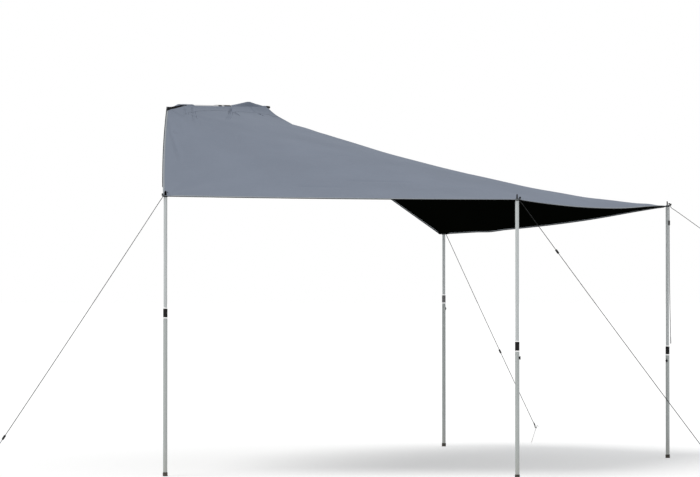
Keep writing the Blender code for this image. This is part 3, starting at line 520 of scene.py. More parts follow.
# The upper tubes take a lighter copy of the same pole alloy: painted light.
upperAlloyPaintedLight = metalFinish("upperAlloyPaintedLight", (0.60, 0.63, 0.63), (0.70, 0.71, 0.71), poleLines,
                         0.40, 0.25, 0.25, 0.2)
rodAlloy = metalFinish("rodAlloy", (0.56, 0.57, 0.58), (0.66, 0.66, 0.66), rodLines, 0.28, 1.0)
ferruleBright = metalFinish("ferruleBright", (0.90, 0.90, 0.90), (0.80, 0.80, 0.80), (300.0, 300.0, 40.0),
                            0.22, 0.9)
zincSteel = metalFinish("zincSteel", (0.52, 0.52, 0.53), (0.36, 0.34, 0.31), (260.0, 260.0, 260.0),
                        0.34, 1.0, 0.12)
endGrey = mouldedFinish("endGrey", (0.30, 0.30, 0.31), (0.36, 0.36, 0.36), 700.0, 0.5, 0.00004)
mouldedBlack = mouldedFinish("mouldedBlack", (0.0035, 0.0035, 0.0038), (0.012, 0.012, 0.013), 1500.0,
                             0.55, 0.00006, specular=0.22)
collarGrey = mouldedFinish("collarGrey", (0.20, 0.20, 0.205), (0.26, 0.26, 0.26), 1500.0, 0.5, 0.00006)
footRubber = mouldedFinish("footRubber", (0.016, 0.016, 0.016), (0.035, 0.034, 0.033), 900.0,
                           0.82, 0.0001, 0.05, 0.25)
guyCord = cordFinish("guyCord", (0.014, 0.015, 0.016), (0.06, 0.06, 0.063), 8.0, 130.0)
print("finishes made")

# Geometry Nodes trees for what repeats

intSocket, geometrySocket, materialSocket = "NodeSocketInt", "NodeSocketGeometry", "NodeSocketMaterial"


def finishedCopies(tree, finish, **inputs):  # copies on points, made real and given their finish
    placed = fedNode(tree, "GeometryNodeInstanceOnPoints", -140, 100, inputs)
    real = fedNode(tree, "GeometryNodeRealizeInstances", 60, 100, {"Geometry": placed.outputs["Instances"]})
    finished = fedNode(tree, "GeometryNodeSetMaterial", 240, 100,
                       {"Geometry": real.outputs["Geometry"], "Material": finish})
    return finished.outputs["Geometry"]


def buildStitchRun():  # short threads laid along a line of edges
    tree, given, made = newGroup(
        "stitchRun", "GeometryNodeTree",
        [("Line", geometrySocket, None), ("Pitch", floatSocket, 0.005), ("Length", floatSocket, 0.0034),
         ("Thread", floatSocket, 0.0004), ("Jitter", floatSocket, 0.05), ("Seed", intSocket, 3),
         ("Finish", materialSocket, None)],
        [("Stitches", geometrySocket)])
    curve = fedNode(tree, "GeometryNodeMeshToCurve", -700, 100, {"Mesh": given["Line"]})
    spaced = fedNode(tree, "GeometryNodeResampleCurve", -520, 100,
                     {"Curve": curve.outputs["Curve"], "Length": given["Pitch"]}, mode="LENGTH")
    stitch = fedNode(tree, "GeometryNodeMeshCylinder", -520, -200,
                     {"Vertices": 5, "Radius": given["Thread"], "Depth": given["Length"]})
    tangent = addNode(tree, "GeometryNodeInputTangent", -700, -60)
    turn = fedNode(tree, "FunctionNodeAlignRotationToVector", -520, -60, {"Vector": tangent.outputs[0]},
                   axis="Z")
    low, high = (fedNode(tree, "ShaderNodeVectorMath", -700, y,
                         {0: (sign, sign, sign), "Scale": given["Jitter"]}, operation="SCALE").outputs[0]
                 for y, sign in ((-400, -1.0), (-520, 1.0)))
    spread = fedNode(tree, "FunctionNodeRandomValue", -520, -400,
                     {"Min": low, "Max": high, "Seed": given["Seed"]}, data_type="FLOAT_VECTOR")
    toTurn = fedNode(tree, "FunctionNodeEulerToRotation", -340, -400, {"Euler": spread.outputs["Value"]})
    wobble = fedNode(tree, "FunctionNodeRotateRotation", -340, -100,
                     {"Rotation": turn.outputs["Rotation"], "Rotate By": toTurn.outputs["Rotation"]},
                     rotation_space="LOCAL")
    feed(tree, made["Stitches"],
         finishedCopies(tree, given["Finish"], Points=spaced.outputs["Curve"],
                        Instance=stitch.outputs["Mesh"], Rotation=wobble.outputs["Rotation"]))
    return tree


def buildRingStack():  # rings of one size, evenly spaced up the Z axis
    tree, given, made = newGroup(
        "ringStack", "GeometryNodeTree",
        [("Base", geometrySocket, None), ("Count", intSocket, 5), ("Spacing", floatSocket, 0.003),
         ("Radius", floatSocket, 0.01), ("Stretch", floatSocket, 1.0), ("Bead", floatSocket, 0.0008),
         ("Sides", intSocket, 28), ("Finish", materialSocket, None)],
        [("Rings", geometrySocket)])
    step = fedNode(tree, "ShaderNodeCombineXYZ", -700, 200, {"Z": given["Spacing"]})
    line = fedNode(tree, "GeometryNodeMeshLine", -520, 200,
                   {"Count": given["Count"], "Offset": step.outputs[0]}, mode="OFFSET")
    circle = fedNode(tree, "GeometryNodeCurvePrimitiveCircle", -700, -60,
                     {"Radius": given["Radius"], "Resolution": given["Sides"]})
    scale = fedNode(tree, "ShaderNodeCombineXYZ", -700, -220, {"X": given["Stretch"], "Y": 1.0, "Z": 1.0})
    oval = fedNode(tree, "GeometryNodeTransform", -520, -60,
                   {"Geometry": circle.outputs["Curve"], "Scale": scale.outputs[0]})
    profile = fedNode(tree, "GeometryNodeCurvePrimitiveCircle", -520, -300,
                      {"Resolution": 6, "Radius": given["Bead"]})
    ring = fedNode(tree, "GeometryNodeCurveToMesh", -340, -60,
                   {"Curve": oval.outputs["Geometry"], "Profile Curve": profile.outputs["Curve"]})
    feed(tree, made["Rings"],
         finishedCopies(tree, given["Finish"], Points=line.outputs["Mesh"], Instance=ring.outputs["Mesh"]))
    return tree


stitchRun = buildStitchRun()
ringStack = buildRingStack()


def growMesh(tree, verts, edges, **values):  # runs a tree on some edges and keeps the result as a plain mesh
    mesh = bpy.data.meshes.new("carrier")
    mesh.from_pydata([tuple(map(float, v)) for v in verts], edges, [])
    carrier = bpy.data.objects.new("carrier", mesh)
    scene.collection.objects.link(carrier)
    modifier = carrier.modifiers.new("Grow", "NODES")
    modifier.node_group = tree
    for item in tree.interface.items_tree:
        if item.item_type == "SOCKET" and item.in_out == "INPUT" and item.name in values:
            modifier[item.identifier] = values[item.name]
    carrier.update_tag()
    bpy.context.view_layer.update()
    made = bpy.data.meshes.new_from_object(carrier.evaluated_get(bpy.context.evaluated_depsgraph_get()))
    carrier.modifiers.remove(modifier)
    bpy.data.objects.remove(carrier, do_unlink=True)
    made.shade_smooth()
    made.set_sharp_from_angle(angle=math.radians(smoothing["grown"]))
    return made


def stitchPiece(name, lines, finish, slotName, **values):  # lines are lists of points
    verts, edges = [], []
    for line in lines:
        start = len(verts)
        verts.extend(line)
        edges.extend((start + k, start + k + 1) for k in range(len(line) - 1))
    return addPiece(name, growMesh(stitchRun, verts, edges, Finish=finish, **values))


def ringMesh(matrix, finish, **values):
    made = growMesh(ringStack, [(0.0, 0.0, 0.0)], [], Finish=finish, **values)
    made.transform(matrix)
    return made


def basis(origin, xWay, yWay, zWay):
    matrix = Matrix((Vector(xWay), Vector(yWay), Vector(zWay))).transposed().to_4x4()
    return Matrix.Translation(Vector(origin)) @ matrix


# Canopy: edges, a relaxed sheet between them, flat corners round the eyelets, then folds and creases

canopy = dict(
    cells=100, passes=389,
    cornerTurn=0.28,                # where the roof corners lie along the inner edge
    nearSag=0.006, frontSag=0.042, farSag=0.038,
    levelReach=0.060, nearBow=0.014, farBow=0.006,  # level part at the corners of poles 1 and 2, outward bows
    farArch=0.038, farArchAt=0.77, farArchWide=0.10, farArchFade=0.12,
    frontRise=0.011, farRise=0.008, riseAt=0.86, riseWide=0.15, riseFade=0.06,      # both edges near pole 4
    lift=0.030,
    edgeAcross=4.5, edgeDown=3.2,       # the cloth's width and length for a place's way in from the edges
    swellFade=0.10, reliefFade=0.05,    # how far in from the edges the swells and the small relief are full
    flatRadius=0.045, blendRadius=0.074,
    cornerZone=0.096, cornerCells=12,   # closer rows and columns round the eyelets
    sideCells=62, roofCells=124, downCells=150,
    downEase=0.45,                  # below 1 the columns lie closer together at the roof side
    zoneClear=1.1,                  # the open columns stop at this share of the closer ones' reach
    rippleDepth=0.0016, rippleReach=0.30, cornerFolds={1: 9, 2: 9, 3: 10, 4: 10}, roofFolds=11,
    softDepth=0.0010, softWaves=((9.0, 4.0, 0.0, 1.0), (-5.0, 11.0, 1.3, 1.0), (17.0, -6.0, 2.1, 0.6)),
    creaseGain=2.5, creaseShoulder=0.9,
    creaseStart=(0.08, 0.25), creaseStop=(1.15, 0.55),      # where along a crease it fades, and over how much
    farDip=0.008, farDipAt=0.22, farDipWide=0.045,
    flatWidth=5.30, flatLength=3.66, flatArea=15.1,
    holeRadius=0.0093, holeSides=20, holeBlock=0.0315, holeMap=(0.3, 0.5),
)

# Creases that the photograph shows: start, end, width and depth
creases = [
    ((-1.603, -1.132, 2.862), (-1.008, -1.922, 2.448), 0.024, 0.0035),
    ((-1.603, -1.132, 2.862), (-1.319, -1.396, 2.697), 0.022, 0.0025),
    ((-1.731, -0.489, 2.999), (-1.422, -0.972, 2.834), 0.016, 0.0055),
    ((-1.720, 0.187, 3.026), (-1.498, -0.233, 2.941), 0.014, 0.0060),
    ((-1.709, 0.173, 3.022), (-1.471, -0.131, 2.939), 0.014, 0.0060),
    ((-1.498, -0.233, 2.941), (-1.345, -0.580, 2.869), 0.014, 0.0030),
    ((-1.743, 0.545, 3.050), (-1.556, 0.482, 2.979), 0.016, 0.0075),
    ((-1.686, -0.681, 2.976), (-1.571, -0.850, 2.912), 0.013, 0.0030),
    ((0.300, -1.600, 2.309), (0.800, -1.250, 2.300), 0.045, 0.0022),
    ((0.800, -1.160, 2.278), (1.250, -1.150, 2.234), 0.045, 0.0022),
    ((0.040, -1.960, 2.258), (0.420, -1.780, 2.243), 0.040, 0.0018),
    ((-1.500, 0.900, 2.960), (-1.050, 1.700, 2.560), 0.040, 0.0030),
]

# Places where the photograph shows the sheet higher or lower: x, y, reach and rise
swells = [
    (-1.60, 0.93, 0.16, 0.0034), (-1.43, 0.98, 0.17, 0.0019), (-1.20, 0.74, 0.22, 0.0213),
    (-0.97, 0.42, 0.30, 0.0170), (-0.18, 0.40, 0.30, -0.0140), (0.10, 0.42, 0.30, -0.0193),
    (0.40, 0.35, 0.30, -0.0438), (0.60, 0.47, 0.30, -0.0490), (0.88, 0.48, 0.30, -0.0486),
    (1.11, 0.55, 0.30, -0.0211), (1.31, 0.70, 0.26, -0.0095), (1.48, 0.90, 0.20, 0.0059),
    (1.56, 1.03, 0.18, 0.0109), (1.64, 1.20, 0.16, 0.0083), (1.73, 1.36, 0.13, 0.0108),
]


def smoothStep(values):
    values = np.clip(values, 0.0, 1.0)
    return values * values * (3 - 2 * values)


def edgeLine(start, end, shares, sag):
    line = start[None] + (end - start)[None] * shares[:, None]
    line[:, 2] -= 4 * sag * shares * (1 - shares)
    return line


def slopingEdge(corner, roof, shares, bow):  # from a level corner up to the roof, bowed outward
    line = edgeLine(corner, roof, shares, 0.0)
    level = canopy["levelReach"] / np.linalg.norm(roof - corner)
    line[:, 2] = corner[2] + (roof[2] - corner[2]) * np.maximum(shares - level, 0.0) / (1 - level)
    outward = unit([roof[1] - corner[1], corner[0] - roof[0], 0.0])
    outward *= np.sign(outward[1] * corner[1])
    return line + outward[None] * (4 * bow * shares * (1 - shares))[:, None]


def innerEdge(shares):
    turn = canopy["cornerTurn"]
    near, far = roofCorner(-1), roofCorner(1)
    first = slopingEdge(clothCorner(1), near, shares / turn, canopy["nearBow"])
    middle = edgeLine(near, far, (shares - turn) / (1 - 2 * turn), 0.0)
    last = slopingEdge(clothCorner(2), far, (1 - shares) / turn, canopy["farBow"])
    climb = np.clip((1 - shares) / turn, 0.0, 1.0)
    arch = np.exp(-((climb - canopy["farArchAt"]) / canopy["farArchWide"]) ** 2)
    last[:, 2] += canopy["farArch"] * (arch * smoothStep((1 - climb) / canopy["farArchFade"]))
    picked = np.where((shares <= turn)[:, None], first, middle)
    return np.where((shares > 1 - turn)[:, None], last, picked)


def fromEdges(across, down):  # about how far in from the cloth's edges each place is
    acrossIn = np.minimum(across, 1 - across)[:, None] * canopy["edgeAcross"]
    return np.minimum(acrossIn, np.minimum(down, 1 - down)[None] * canopy["edgeDown"])


def relaxedSheet():
    shares = np.linspace(0.0, 1.0, canopy["cells"] + 1)
    near, far, frontNear, frontFar = (clothCorner(n) for n in (1, 2, 3, 4))
    inner = innerEdge(shares)
    front = edgeLine(frontNear, frontFar, shares, canopy["frontSag"])
    nearSide = edgeLine(near, frontNear, shares, canopy["nearSag"])
    farSide = edgeLine(far, frontFar, shares, canopy["farSag"])
    rise = np.exp(-((shares - canopy["riseAt"]) / canopy["riseWide"]) ** 2)
    rise *= smoothStep((1 - shares) / canopy["riseFade"])
    front[:, 2] += canopy["frontRise"] * rise
    farSide[:, 2] += canopy["farRise"] * rise
    farSide[:, 2] -= canopy["farDip"] * np.exp(-((shares - canopy["farDipAt"]) / canopy["farDipWide"]) ** 2)
    u = shares[:, None, None]
    v = shares[None, :, None]
    cornersMixed = (1 - u) * (1 - v) * near + u * (1 - v) * far + (1 - u) * v * frontNear + u * v * frontFar
    sheet = (1 - v) * inner[:, None] + v * front[:, None] + (1 - u) * nearSide[None] + u * farSide[None]
    sheet = sheet - cornersMixed
    for _ in range(canopy["passes"]):
        sheet[1:-1, 1:-1] = (sheet[2:, 1:-1] + sheet[:-2, 1:-1] + sheet[1:-1, 2:] + sheet[1:-1, :-2]) / 4
    sheet[:, :, 2] += canopy["lift"] * np.sin(math.pi * u[..., 0]) * np.sin(math.pi * v[..., 0] ** 2)
    inside = smoothStep(fromEdges(shares, shares) / canopy["swellFade"])
    for x, y, reach, rise in swells:
        away = np.hypot(sheet[..., 0] - x, sheet[..., 1] - y) / reach
        sheet[..., 2] += rise * np.exp(-away ** 2) * inside
    return sheet


def resampled(grid, shares):  # a smooth curve through the first axis, read at shares of it
    cells = grid.shape[0] - 1
    padded = np.concatenate([2 * grid[:1] - grid[1:2], grid, 2 * grid[-1:] - grid[-2:-1]])
    spots = np.clip(shares * cells, 0, cells - 1e-9)
    index = spots.astype(int)
    t = (spots - index)[:, None, None]
    a, b, c, d = (padded[index + k] for k in range(4))
    return 0.5 * (2 * b + (c - a) * t + (2 * a - 5 * b + 4 * c - d) * t ** 2
                  + (3 * b - a - 3 * c + d) * t ** 3)


def gridNormals(grid):
    normals = np.cross(np.gradient(grid, axis=1), np.gradient(grid, axis=0))
    normals /= np.linalg.norm(normals, axis=-1, keepdims=True)
    return -normals if normals[normals.shape[0] // 2, normals.shape[1] // 2, 2] < 0 else normals


def acrossShares():
    turn = canopy["cornerTurn"]
    zone = canopy["cornerZone"] / np.linalg.norm(clothCorner(1) - roofCorner(-1)) * turn
    side = np.concatenate([np.linspace(0.0, zone, canopy["cornerCells"] + 1),
                           np.linspace(zone, turn, canopy["sideCells"] + 1)[1:]])
    roof = np.linspace(turn, 1 - turn, canopy["roofCells"] + 1)
    return np.concatenate([side, roof[1:-1], 1 - side[::-1]])


def downShares():
    t = np.linspace(0.0, 1.0, canopy["downCells"] + 1)
    down = canopy["downEase"] * t + (1 - canopy["downEase"]) * t * t
    zone = canopy["cornerZone"] / np.linalg.norm(clothCorner(1) - clothCorner(3))
    last = np.linspace(1 - zone, 1.0, canopy["cornerCells"] + 1)
    return np.concatenate([down[down < 1 - canopy["zoneClear"] * zone], last])


def clothSurface():
    across, down = acrossShares(), downShares()
    sheet = resampled(relaxedSheet(), across)
    sheet = resampled(sheet.transpose(1, 0, 2), down).transpose(1, 0, 2)
    sheet[:, 0] = innerEdge(across)
    calm = np.ones(sheet.shape[:2])
    for number in poleSet:
        corner = clothCorner(number)
        away = np.linalg.norm((sheet - corner)[..., :2], axis=-1)
        share = smoothStep((away - canopy["flatRadius"]) / (canopy["blendRadius"] - canopy["flatRadius"]))
        sheet[..., 2] = corner[2] + (sheet[..., 2] - corner[2]) * share
        calm *= share
    calm *= smoothStep(fromEdges(across, down) / canopy["reliefFade"])
    normals = gridNormals(sheet)
    depth = np.zeros(sheet.shape[:2])
    (startAt, startFade), (stopAt, stopFade) = canopy["creaseStart"], canopy["creaseStop"]
    for start, end, wide, deep in creases:
        start, end = np.array(start), np.array(end)
        line = end - start
        along = ((sheet - start) @ line) / line.dot(line)
        nearest = start + np.clip(along, 0, 1)[..., None] * line
        away = np.linalg.norm(sheet - nearest, axis=-1) / wide
        ends = smoothStep((along + startAt) / startFade) * smoothStep((stopAt - along) / stopFade)
        trough = (1 - canopy["creaseShoulder"] * away ** 2) * np.exp(-away ** 2)
        depth -= canopy["creaseGain"] * deep * trough * ends
    folds = [(clothCorner(number), count) for number, count in canopy["cornerFolds"].items()]
    folds += [(roofCorner(side), canopy["roofFolds"]) for side in (-1, 1)]
    for corner, count in folds:
        away = np.linalg.norm(sheet - corner, axis=-1) / canopy["rippleReach"]
        turn = np.arctan2(sheet[..., 1] - corner[1], sheet[..., 0] - corner[0])
        depth += canopy["rippleDepth"] * np.sin(count * turn) * away * np.exp(1 - away)
    x, y = sheet[..., 0], sheet[..., 1]
    depth += canopy["softDepth"] * sum(strength * np.sin(a * x + b * y + start)
                                       for a, b, start, strength in canopy["softWaves"])
    sheet += normals * (depth * calm)[..., None]
    return sheet, across, down


clothGrid, acrossAt, downAt = clothSurface()
clothNormals = gridNormals(clothGrid)
rowCount, columnCount = clothGrid.shape[:2]
roofRow = canopy["cornerCells"] + canopy["sideCells"]       # the row that ends at the near roof corner
roofRows = (roofRow, roofRow + canopy["roofCells"])


def clothAt(row, column, lift=0.0):  # a point on the sheet between its rows and columns
    row = min(max(row, 0.0), rowCount - 1.0001)
    column = min(max(column, 0.0), columnCount - 1.0001)
    i, j = int(row), int(column)
    s, t = row - i, column - j

    def mixed(field):
        return ((1 - s) * (1 - t) * field[i, j] + s * (1 - t) * field[i + 1, j]
                + (1 - s) * t * field[i, j + 1] + s * t * field[i + 1, j + 1])

    return mixed(clothGrid) + unit(mixed(clothNormals)) * lift


def cellsInHole(spot, stepRow, stepColumn):  # how many cells the block round a corner's eyelet takes up
    count = 1
    while np.linalg.norm(clothGrid[spot[0] + stepRow * count, spot[1] + stepColumn * count]
                         - clothGrid[spot]) < canopy["holeBlock"]:
        count += 1
    return count


def buildCanopy():
    lower = clothGrid - clothNormals * plan["cloth"]
    verts = [tuple(v) for v in clothGrid.reshape(-1, 3)] + [tuple(v) for v in lower.reshape(-1, 3)]
    flatOf = [(u * canopy["flatWidth"], v * canopy["flatLength"]) for u in acrossAt for v in downAt] * 2
    size = rowCount * columnCount
    faces, finishOf = [], []

    def numbers(spots):
        return [i * columnCount + j for i, j in spots]

    def addFace(face, under=0):
        faces.append(tuple(face))
        finishOf.append(under)

    holes, skipped = [], set()
    for pole, (atEnd, atFront) in {1: (0, 0), 2: (1, 0), 3: (0, 1), 4: (1, 1)}.items():
        spot = (atEnd * (rowCount - 1), atFront * (columnCount - 1))
        stepRow, stepColumn = 1 - 2 * atEnd, 1 - 2 * atFront
        rows = sorted((spot[0], spot[0] + stepRow * cellsInHole(spot, stepRow, 0)))
        columns = sorted((spot[1], spot[1] + stepColumn * cellsInHole(spot, 0, stepColumn)))
        holes.append((numbers(blockRim(*rows, *columns)), polePoint(pole, clothGrid[spot][2])))
        skipped |= {(i, j) for i in range(*rows) for j in range(*columns)}

    for i in range(rowCount - 1):
        for j in range(columnCount - 1):
            if (i, j) not in skipped:
                quad = numbers([(i, j), (i + 1, j), (i + 1, j + 1), (i, j + 1)])
                addFace(quad)
                addFace([size + k for k in reversed(quad)], 1)
    rim = numbers(blockRim(0, rowCount - 1, 0, columnCount - 1))
    for a, b in zip(rim, rim[1:] + rim[:1]):
        addFace((b, a, size + a, size + b))
    turns = fullTurn(canopy["holeSides"])
    count = len(turns)
    mapStart, mapScale = canopy["holeMap"]
    for loop, middle in holes:
        top = list(range(len(verts), len(verts) + count))
        bottom = [k + count for k in top]
        for level in (0.0, -plan["cloth"]):
            ring = [middle + flatWay(turn) * canopy["holeRadius"] + upBy(level) for turn in turns]
            verts += [tuple(point) for point in ring]
            flatOf += [(mapStart + point[0] * mapScale, mapStart + point[1] * mapScale) for point in ring]
        for face in zipRings(loop, top, verts, middle):
            addFace(face)
        for face in zipRings([size + k for k in loop], bottom, verts, middle):
            addFace(reversed(face), 1)
        for k in range(count):
            m = (k + 1) % count
            addFace((top[m], top[k], bottom[k], bottom[m]))
    corners = [flatOf[k] for face in faces for k in face]
    # The underside faces take the black coat darkened into painted shade.
    piece = meshPiece("canopyCloth", (verts, faces, corners), "cloth_grey", canopyTop, canopyUnderBlackAndShade,
                      faceFinish=finishOf)
    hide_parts("canopy")
    return piece


canopyPiece = buildCanopy()
print("canopy made:", len(canopyPiece.data.polygons), "faces")

# Camera, light and ground

cameraSettings = dict(place=(11.0412, -23.1112, 1.4109), tilt=91.0454, turn=26.4740,
                      lens=156.686, sensor=36.0, near=0.1, far=600.0)


def buildCamera():
    data = bpy.data.cameras.new("photoCamera")
    data.sensor_width = cameraSettings["sensor"]
    data.lens = cameraSettings["lens"]
    data.clip_start, data.clip_end = cameraSettings["near"], cameraSettings["far"]
    camera = bpy.data.objects.new("photoCamera", data)
    camera.location = cameraSettings["place"]
    camera.rotation_euler = (math.radians(cameraSettings["tilt"]), 0.0, math.radians(cameraSettings["turn"]))
    scene.collection.objects.link(camera)
    scene.camera = camera


lightSettings = dict(
    sky=(0.97, 0.985, 1.0), skyStrength=0.54,
    sunStrength=1.22, sunAngle=32.0, sunTilt=(28.0, 0.0, -30.0), sunColour=(1.0, 0.985, 0.96),
    groundColour=(0.84, 0.84, 0.84), groundGlow=0.34, groundRadius=420.0, groundSides=64, groundDrop=0.0005,
)
white = (1.0, 1.0, 1.0, 1.0)


def seenRays(tree, *kinds):  # 1 for the kinds of ray that are named, else 0
    path = addNode(tree, "ShaderNodeLightPath", -700, 200)
    seen = path.outputs[kinds[0]]
    for step, kind in enumerate(kinds[1:]):
        seen = mathNode(tree, "MAXIMUM", -500 + 150 * step, 200, seen, path.outputs[kind])
    return seen


def buildLight():
    world = bpy.data.worlds.new("studio")
    scene.world = world
    world.use_nodes = True
    tree = world.node_tree
    tree.nodes.clear()
    sky = fedNode(tree, "ShaderNodeBackground", -200, 100,
                  {"Color": (*lightSettings["sky"], 1.0), "Strength": lightSettings["skyStrength"]})
    backdrop = fedNode(tree, "ShaderNodeBackground", -200, -100, {"Color": white, "Strength": 1.0})
    seen = seenRays(tree, "Is Camera Ray", "Is Glossy Ray", "Is Transmission Ray")
    mixed = fedNode(tree, "ShaderNodeMixShader", 0, 0, {0: seen, 1: sky.outputs[0], 2: backdrop.outputs[0]})
    fedNode(tree, "ShaderNodeOutputWorld", 200, 0, {"Surface": mixed.outputs[0]})

    sunData = bpy.data.lights.new("softSun", "SUN")
    sunData.energy = lightSettings["sunStrength"]
    sunData.angle = math.radians(lightSettings["sunAngle"])
    sunData.color = lightSettings["sunColour"]
    sun = bpy.data.objects.new("softSun", sunData)
    sun.rotation_euler = [math.radians(v) for v in lightSettings["sunTilt"]]
    scene.collection.objects.link(sun)


def buildGround():
    finish, tree, shader, _ = newFinish("groundPale", roughness=1.0, specular=0.0)
    glow = mathNode(tree, "MULTIPLY", -300, 0, seenRays(tree, "Is Camera Ray", "Is Glossy Ray"),
                    lightSettings["groundGlow"])
    for label, value in (("Base Color", (*lightSettings["groundColour"], 1.0)), ("Emission Color", white),
                         ("Emission Strength", glow)):
        feed(tree, shader[label], value)
    reach, drop = lightSettings["groundRadius"], lightSettings["groundDrop"]
    disc = [(reach * math.cos(t), reach * math.sin(t), -drop) for t in fullTurn(lightSettings["groundSides"])]
    mesh = bpy.data.meshes.new("ground")
    mesh.from_pydata(disc, [], [tuple(range(len(disc)))])
    mesh.materials.append(finish)
    ground = bpy.data.objects.new("ground", mesh)
    scene.collection.objects.link(ground)


buildCamera()
buildLight()
buildGround()
scene.view_settings.view_transform = "Standard"


# Ropes: the same routes as in the source, finer

rope = dict(radius=0.0025, sides=12, sag=0.008, aboveLink=0.006, belowLink=0.012, linkThick=0.005,
            linkReach=0.030, linkTop=0.0102, turnIn=0.45,       # the share of belowLink where it bends out
            ease=0.02, spans=6, eyeLoop=0.009, eyeTail=0.050, tailOffset=0.0075,
            eyeTurns=(75, 120, 165, 210, 255, 300), tailAt=(0.55, 1.0), perSpan=5)
spareRope = dict(wayDeg=-35.0, length=1.16, perSpan=6,          # how far down and out its points lie
                 drops=(0.0, 0.06, 0.16, 0.30, 0.48, 0.68, 0.88, 1.03, 1.150),
                 sways=(0.0, 0.0, 0.0, 0.0, 0.001, 0.004, 0.009, 0.014, 0.018))
peg = dict(radius=0.003, point=0.25, leanDeg=22.0, seat=0.155)
guySet = {
    1: dict(to=(-0.583, -1.560), slider=0.915, length=2.74),
    2: dict(to=(0.488, 0.918), slider=0.61, length=2.21),
    3: dict(to=(1.823, -0.664), slider=0.20, length=2.89),
    4: dict(to=(2.360, 1.770), slider=0.86, length=3.70),
}


def linkEye(number, wayDeg):
    way = math.radians(wayDeg)
    return polePoint(number, poleSet[number]["height"] + rope["linkTop"]) + flatWay(way) * rope["linkReach"]


def guyEye(number):
    x, y = guySet[number]["to"]
    return linkEye(number, math.degrees(math.atan2(y, x)))


def smoothRoute(points, perSpan):
    points = [np.asarray(p, float) for p in points]
    ends = [points[0] * 2 - points[1], *points, points[-1] * 2 - points[-2]]
    route = []
    for index in range(1, len(ends) - 2):
        a, b, c, d = ends[index - 1:index + 3]
        times = [0.0]
        for first, second in ((a, b), (b, c), (c, d)):
            times.append(times[-1] + np.linalg.norm(second - first) ** 0.5)
        for step in range(perSpan):
            t = times[1] + (times[2] - times[1]) * step / perSpan

            def between(p, q, start, end):
                return p + (q - p) * ((t - times[start]) / (times[end] - times[start]))

            ab, bc, cd = between(a, b, 0, 1), between(b, c, 1, 2), between(c, d, 2, 3)
            route.append(between(between(ab, bc, 0, 2), between(bc, cd, 1, 3), 1, 2))
    route.append(points[-1])
    return route


def guyEnds(number):
    start = guyEye(number) - upBy(rope["linkThick"] + rope["belowLink"])
    x, y = guySet[number]["to"]
    flat = unit((x, y, 0.0))
    lean = math.radians(peg["leanDeg"])
    up = unit(flat * math.sin(lean) + upBy(math.cos(lean)))
    foot = polePoint(number) + np.array([x, y, peg["radius"] * peg["point"]])
    seat = foot + up * peg["seat"]
    pull = unit(start - seat)
    out = unit(pull - up * pull.dot(up))
    loop = seat + out * (rope["eyeLoop"] - rope["radius"] - peg["radius"] - 2 * plan["gap"])
    return start, loop, pull, out


def guyPoint(number, share):
    start, loop, pull, _ = guyEnds(number)
    point = start + (loop + pull * rope["eyeTail"] - start) * share
    point[2] -= 4 * rope["sag"] * share * (1 - share)
    return point


def guySide(pull):
    return unit(np.cross(pull, (0.0, 0.0, 1.0)))


def guyRoute(number):
    eye = guyEye(number)
    _, loop, pull, out = guyEnds(number)
    side = guySide(pull)
    top = [eye + upBy(z) for z in (rope["aboveLink"], -rope["linkThick"] / 2,
                                   -rope["linkThick"] - rope["belowLink"] * rope["turnIn"])]
    ease, spans = rope["ease"], rope["spans"]
    shares = [0.0, ease, *[ease + (1 - 2 * ease) * k / spans for k in range(1, spans)], 1 - ease, 1.0]
    turn = [loop + out * (rope["eyeLoop"] * math.cos(a)) + side * (rope["eyeLoop"] * math.sin(a))
            for a in map(math.radians, rope["eyeTurns"])]
    tail = [loop + pull * rope["eyeTail"] * share - side * rope["tailOffset"] for share in rope["tailAt"]]
    return smoothRoute(top + [guyPoint(number, share) for share in shares] + turn + tail, rope["perSpan"])


def spareRoute():
    eye = linkEye(4, spareRope["wayDeg"])
    down = zip((-rope["aboveLink"], *spareRope["drops"]), (0.0, *spareRope["sways"]))
    return smoothRoute([eye + np.array([sway, -sway, -drop]) for drop, sway in down], spareRope["perSpan"])


knot = dict(wide=0.0023, thick=0.0023, flat=1.4, steps=60, sides=8, guyRise=0.001, spareRise=0.004)
whipping = dict(turns=13, spacing=0.0019, thread=0.0009, sink=0.6, sides=24, at=0.030)
lashing = dict(radius=0.0082, cord=0.0021, sides=8, turns=6, perTurn=18, tall=0.027,    # round pole 1's spike
               tail=0.018, tailSteps=8, tailBend=14.0, drift=(0.5, 0.06))
endPiece = dict(sides=16, above=0.013, levels=(0.0, 0.002, 0.006, 0.030, 0.052, 0.057, 0.059),
                radii=(0.0030, 0.0037, 0.0042, 0.0042, 0.0042, 0.0036, 0.0016))


def stopperKnot(centre):  # a tight overhand knot on the end of a rope
    t = fullTurn(knot["steps"])
    loop = [np.sin(t) + 2 * np.sin(2 * t), np.cos(t) - 2 * np.cos(2 * t), -knot["flat"] * np.sin(3 * t)]
    path = np.stack(loop, axis=1) * knot["wide"] + centre
    return tubeAlong(path, knot["thick"], knot["sides"], closed=True)


def ropeAndKnot(name, nodeName, knotName, route, rise):
    line = meshPiece(name, tubeAlong(route, rope["radius"], rope["sides"]), "rope_grey", guyCord)
    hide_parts(nodeName)
    return line, meshPiece(knotName, stopperKnot(route[0] + upBy(rise)), "rope_grey", guyCord)


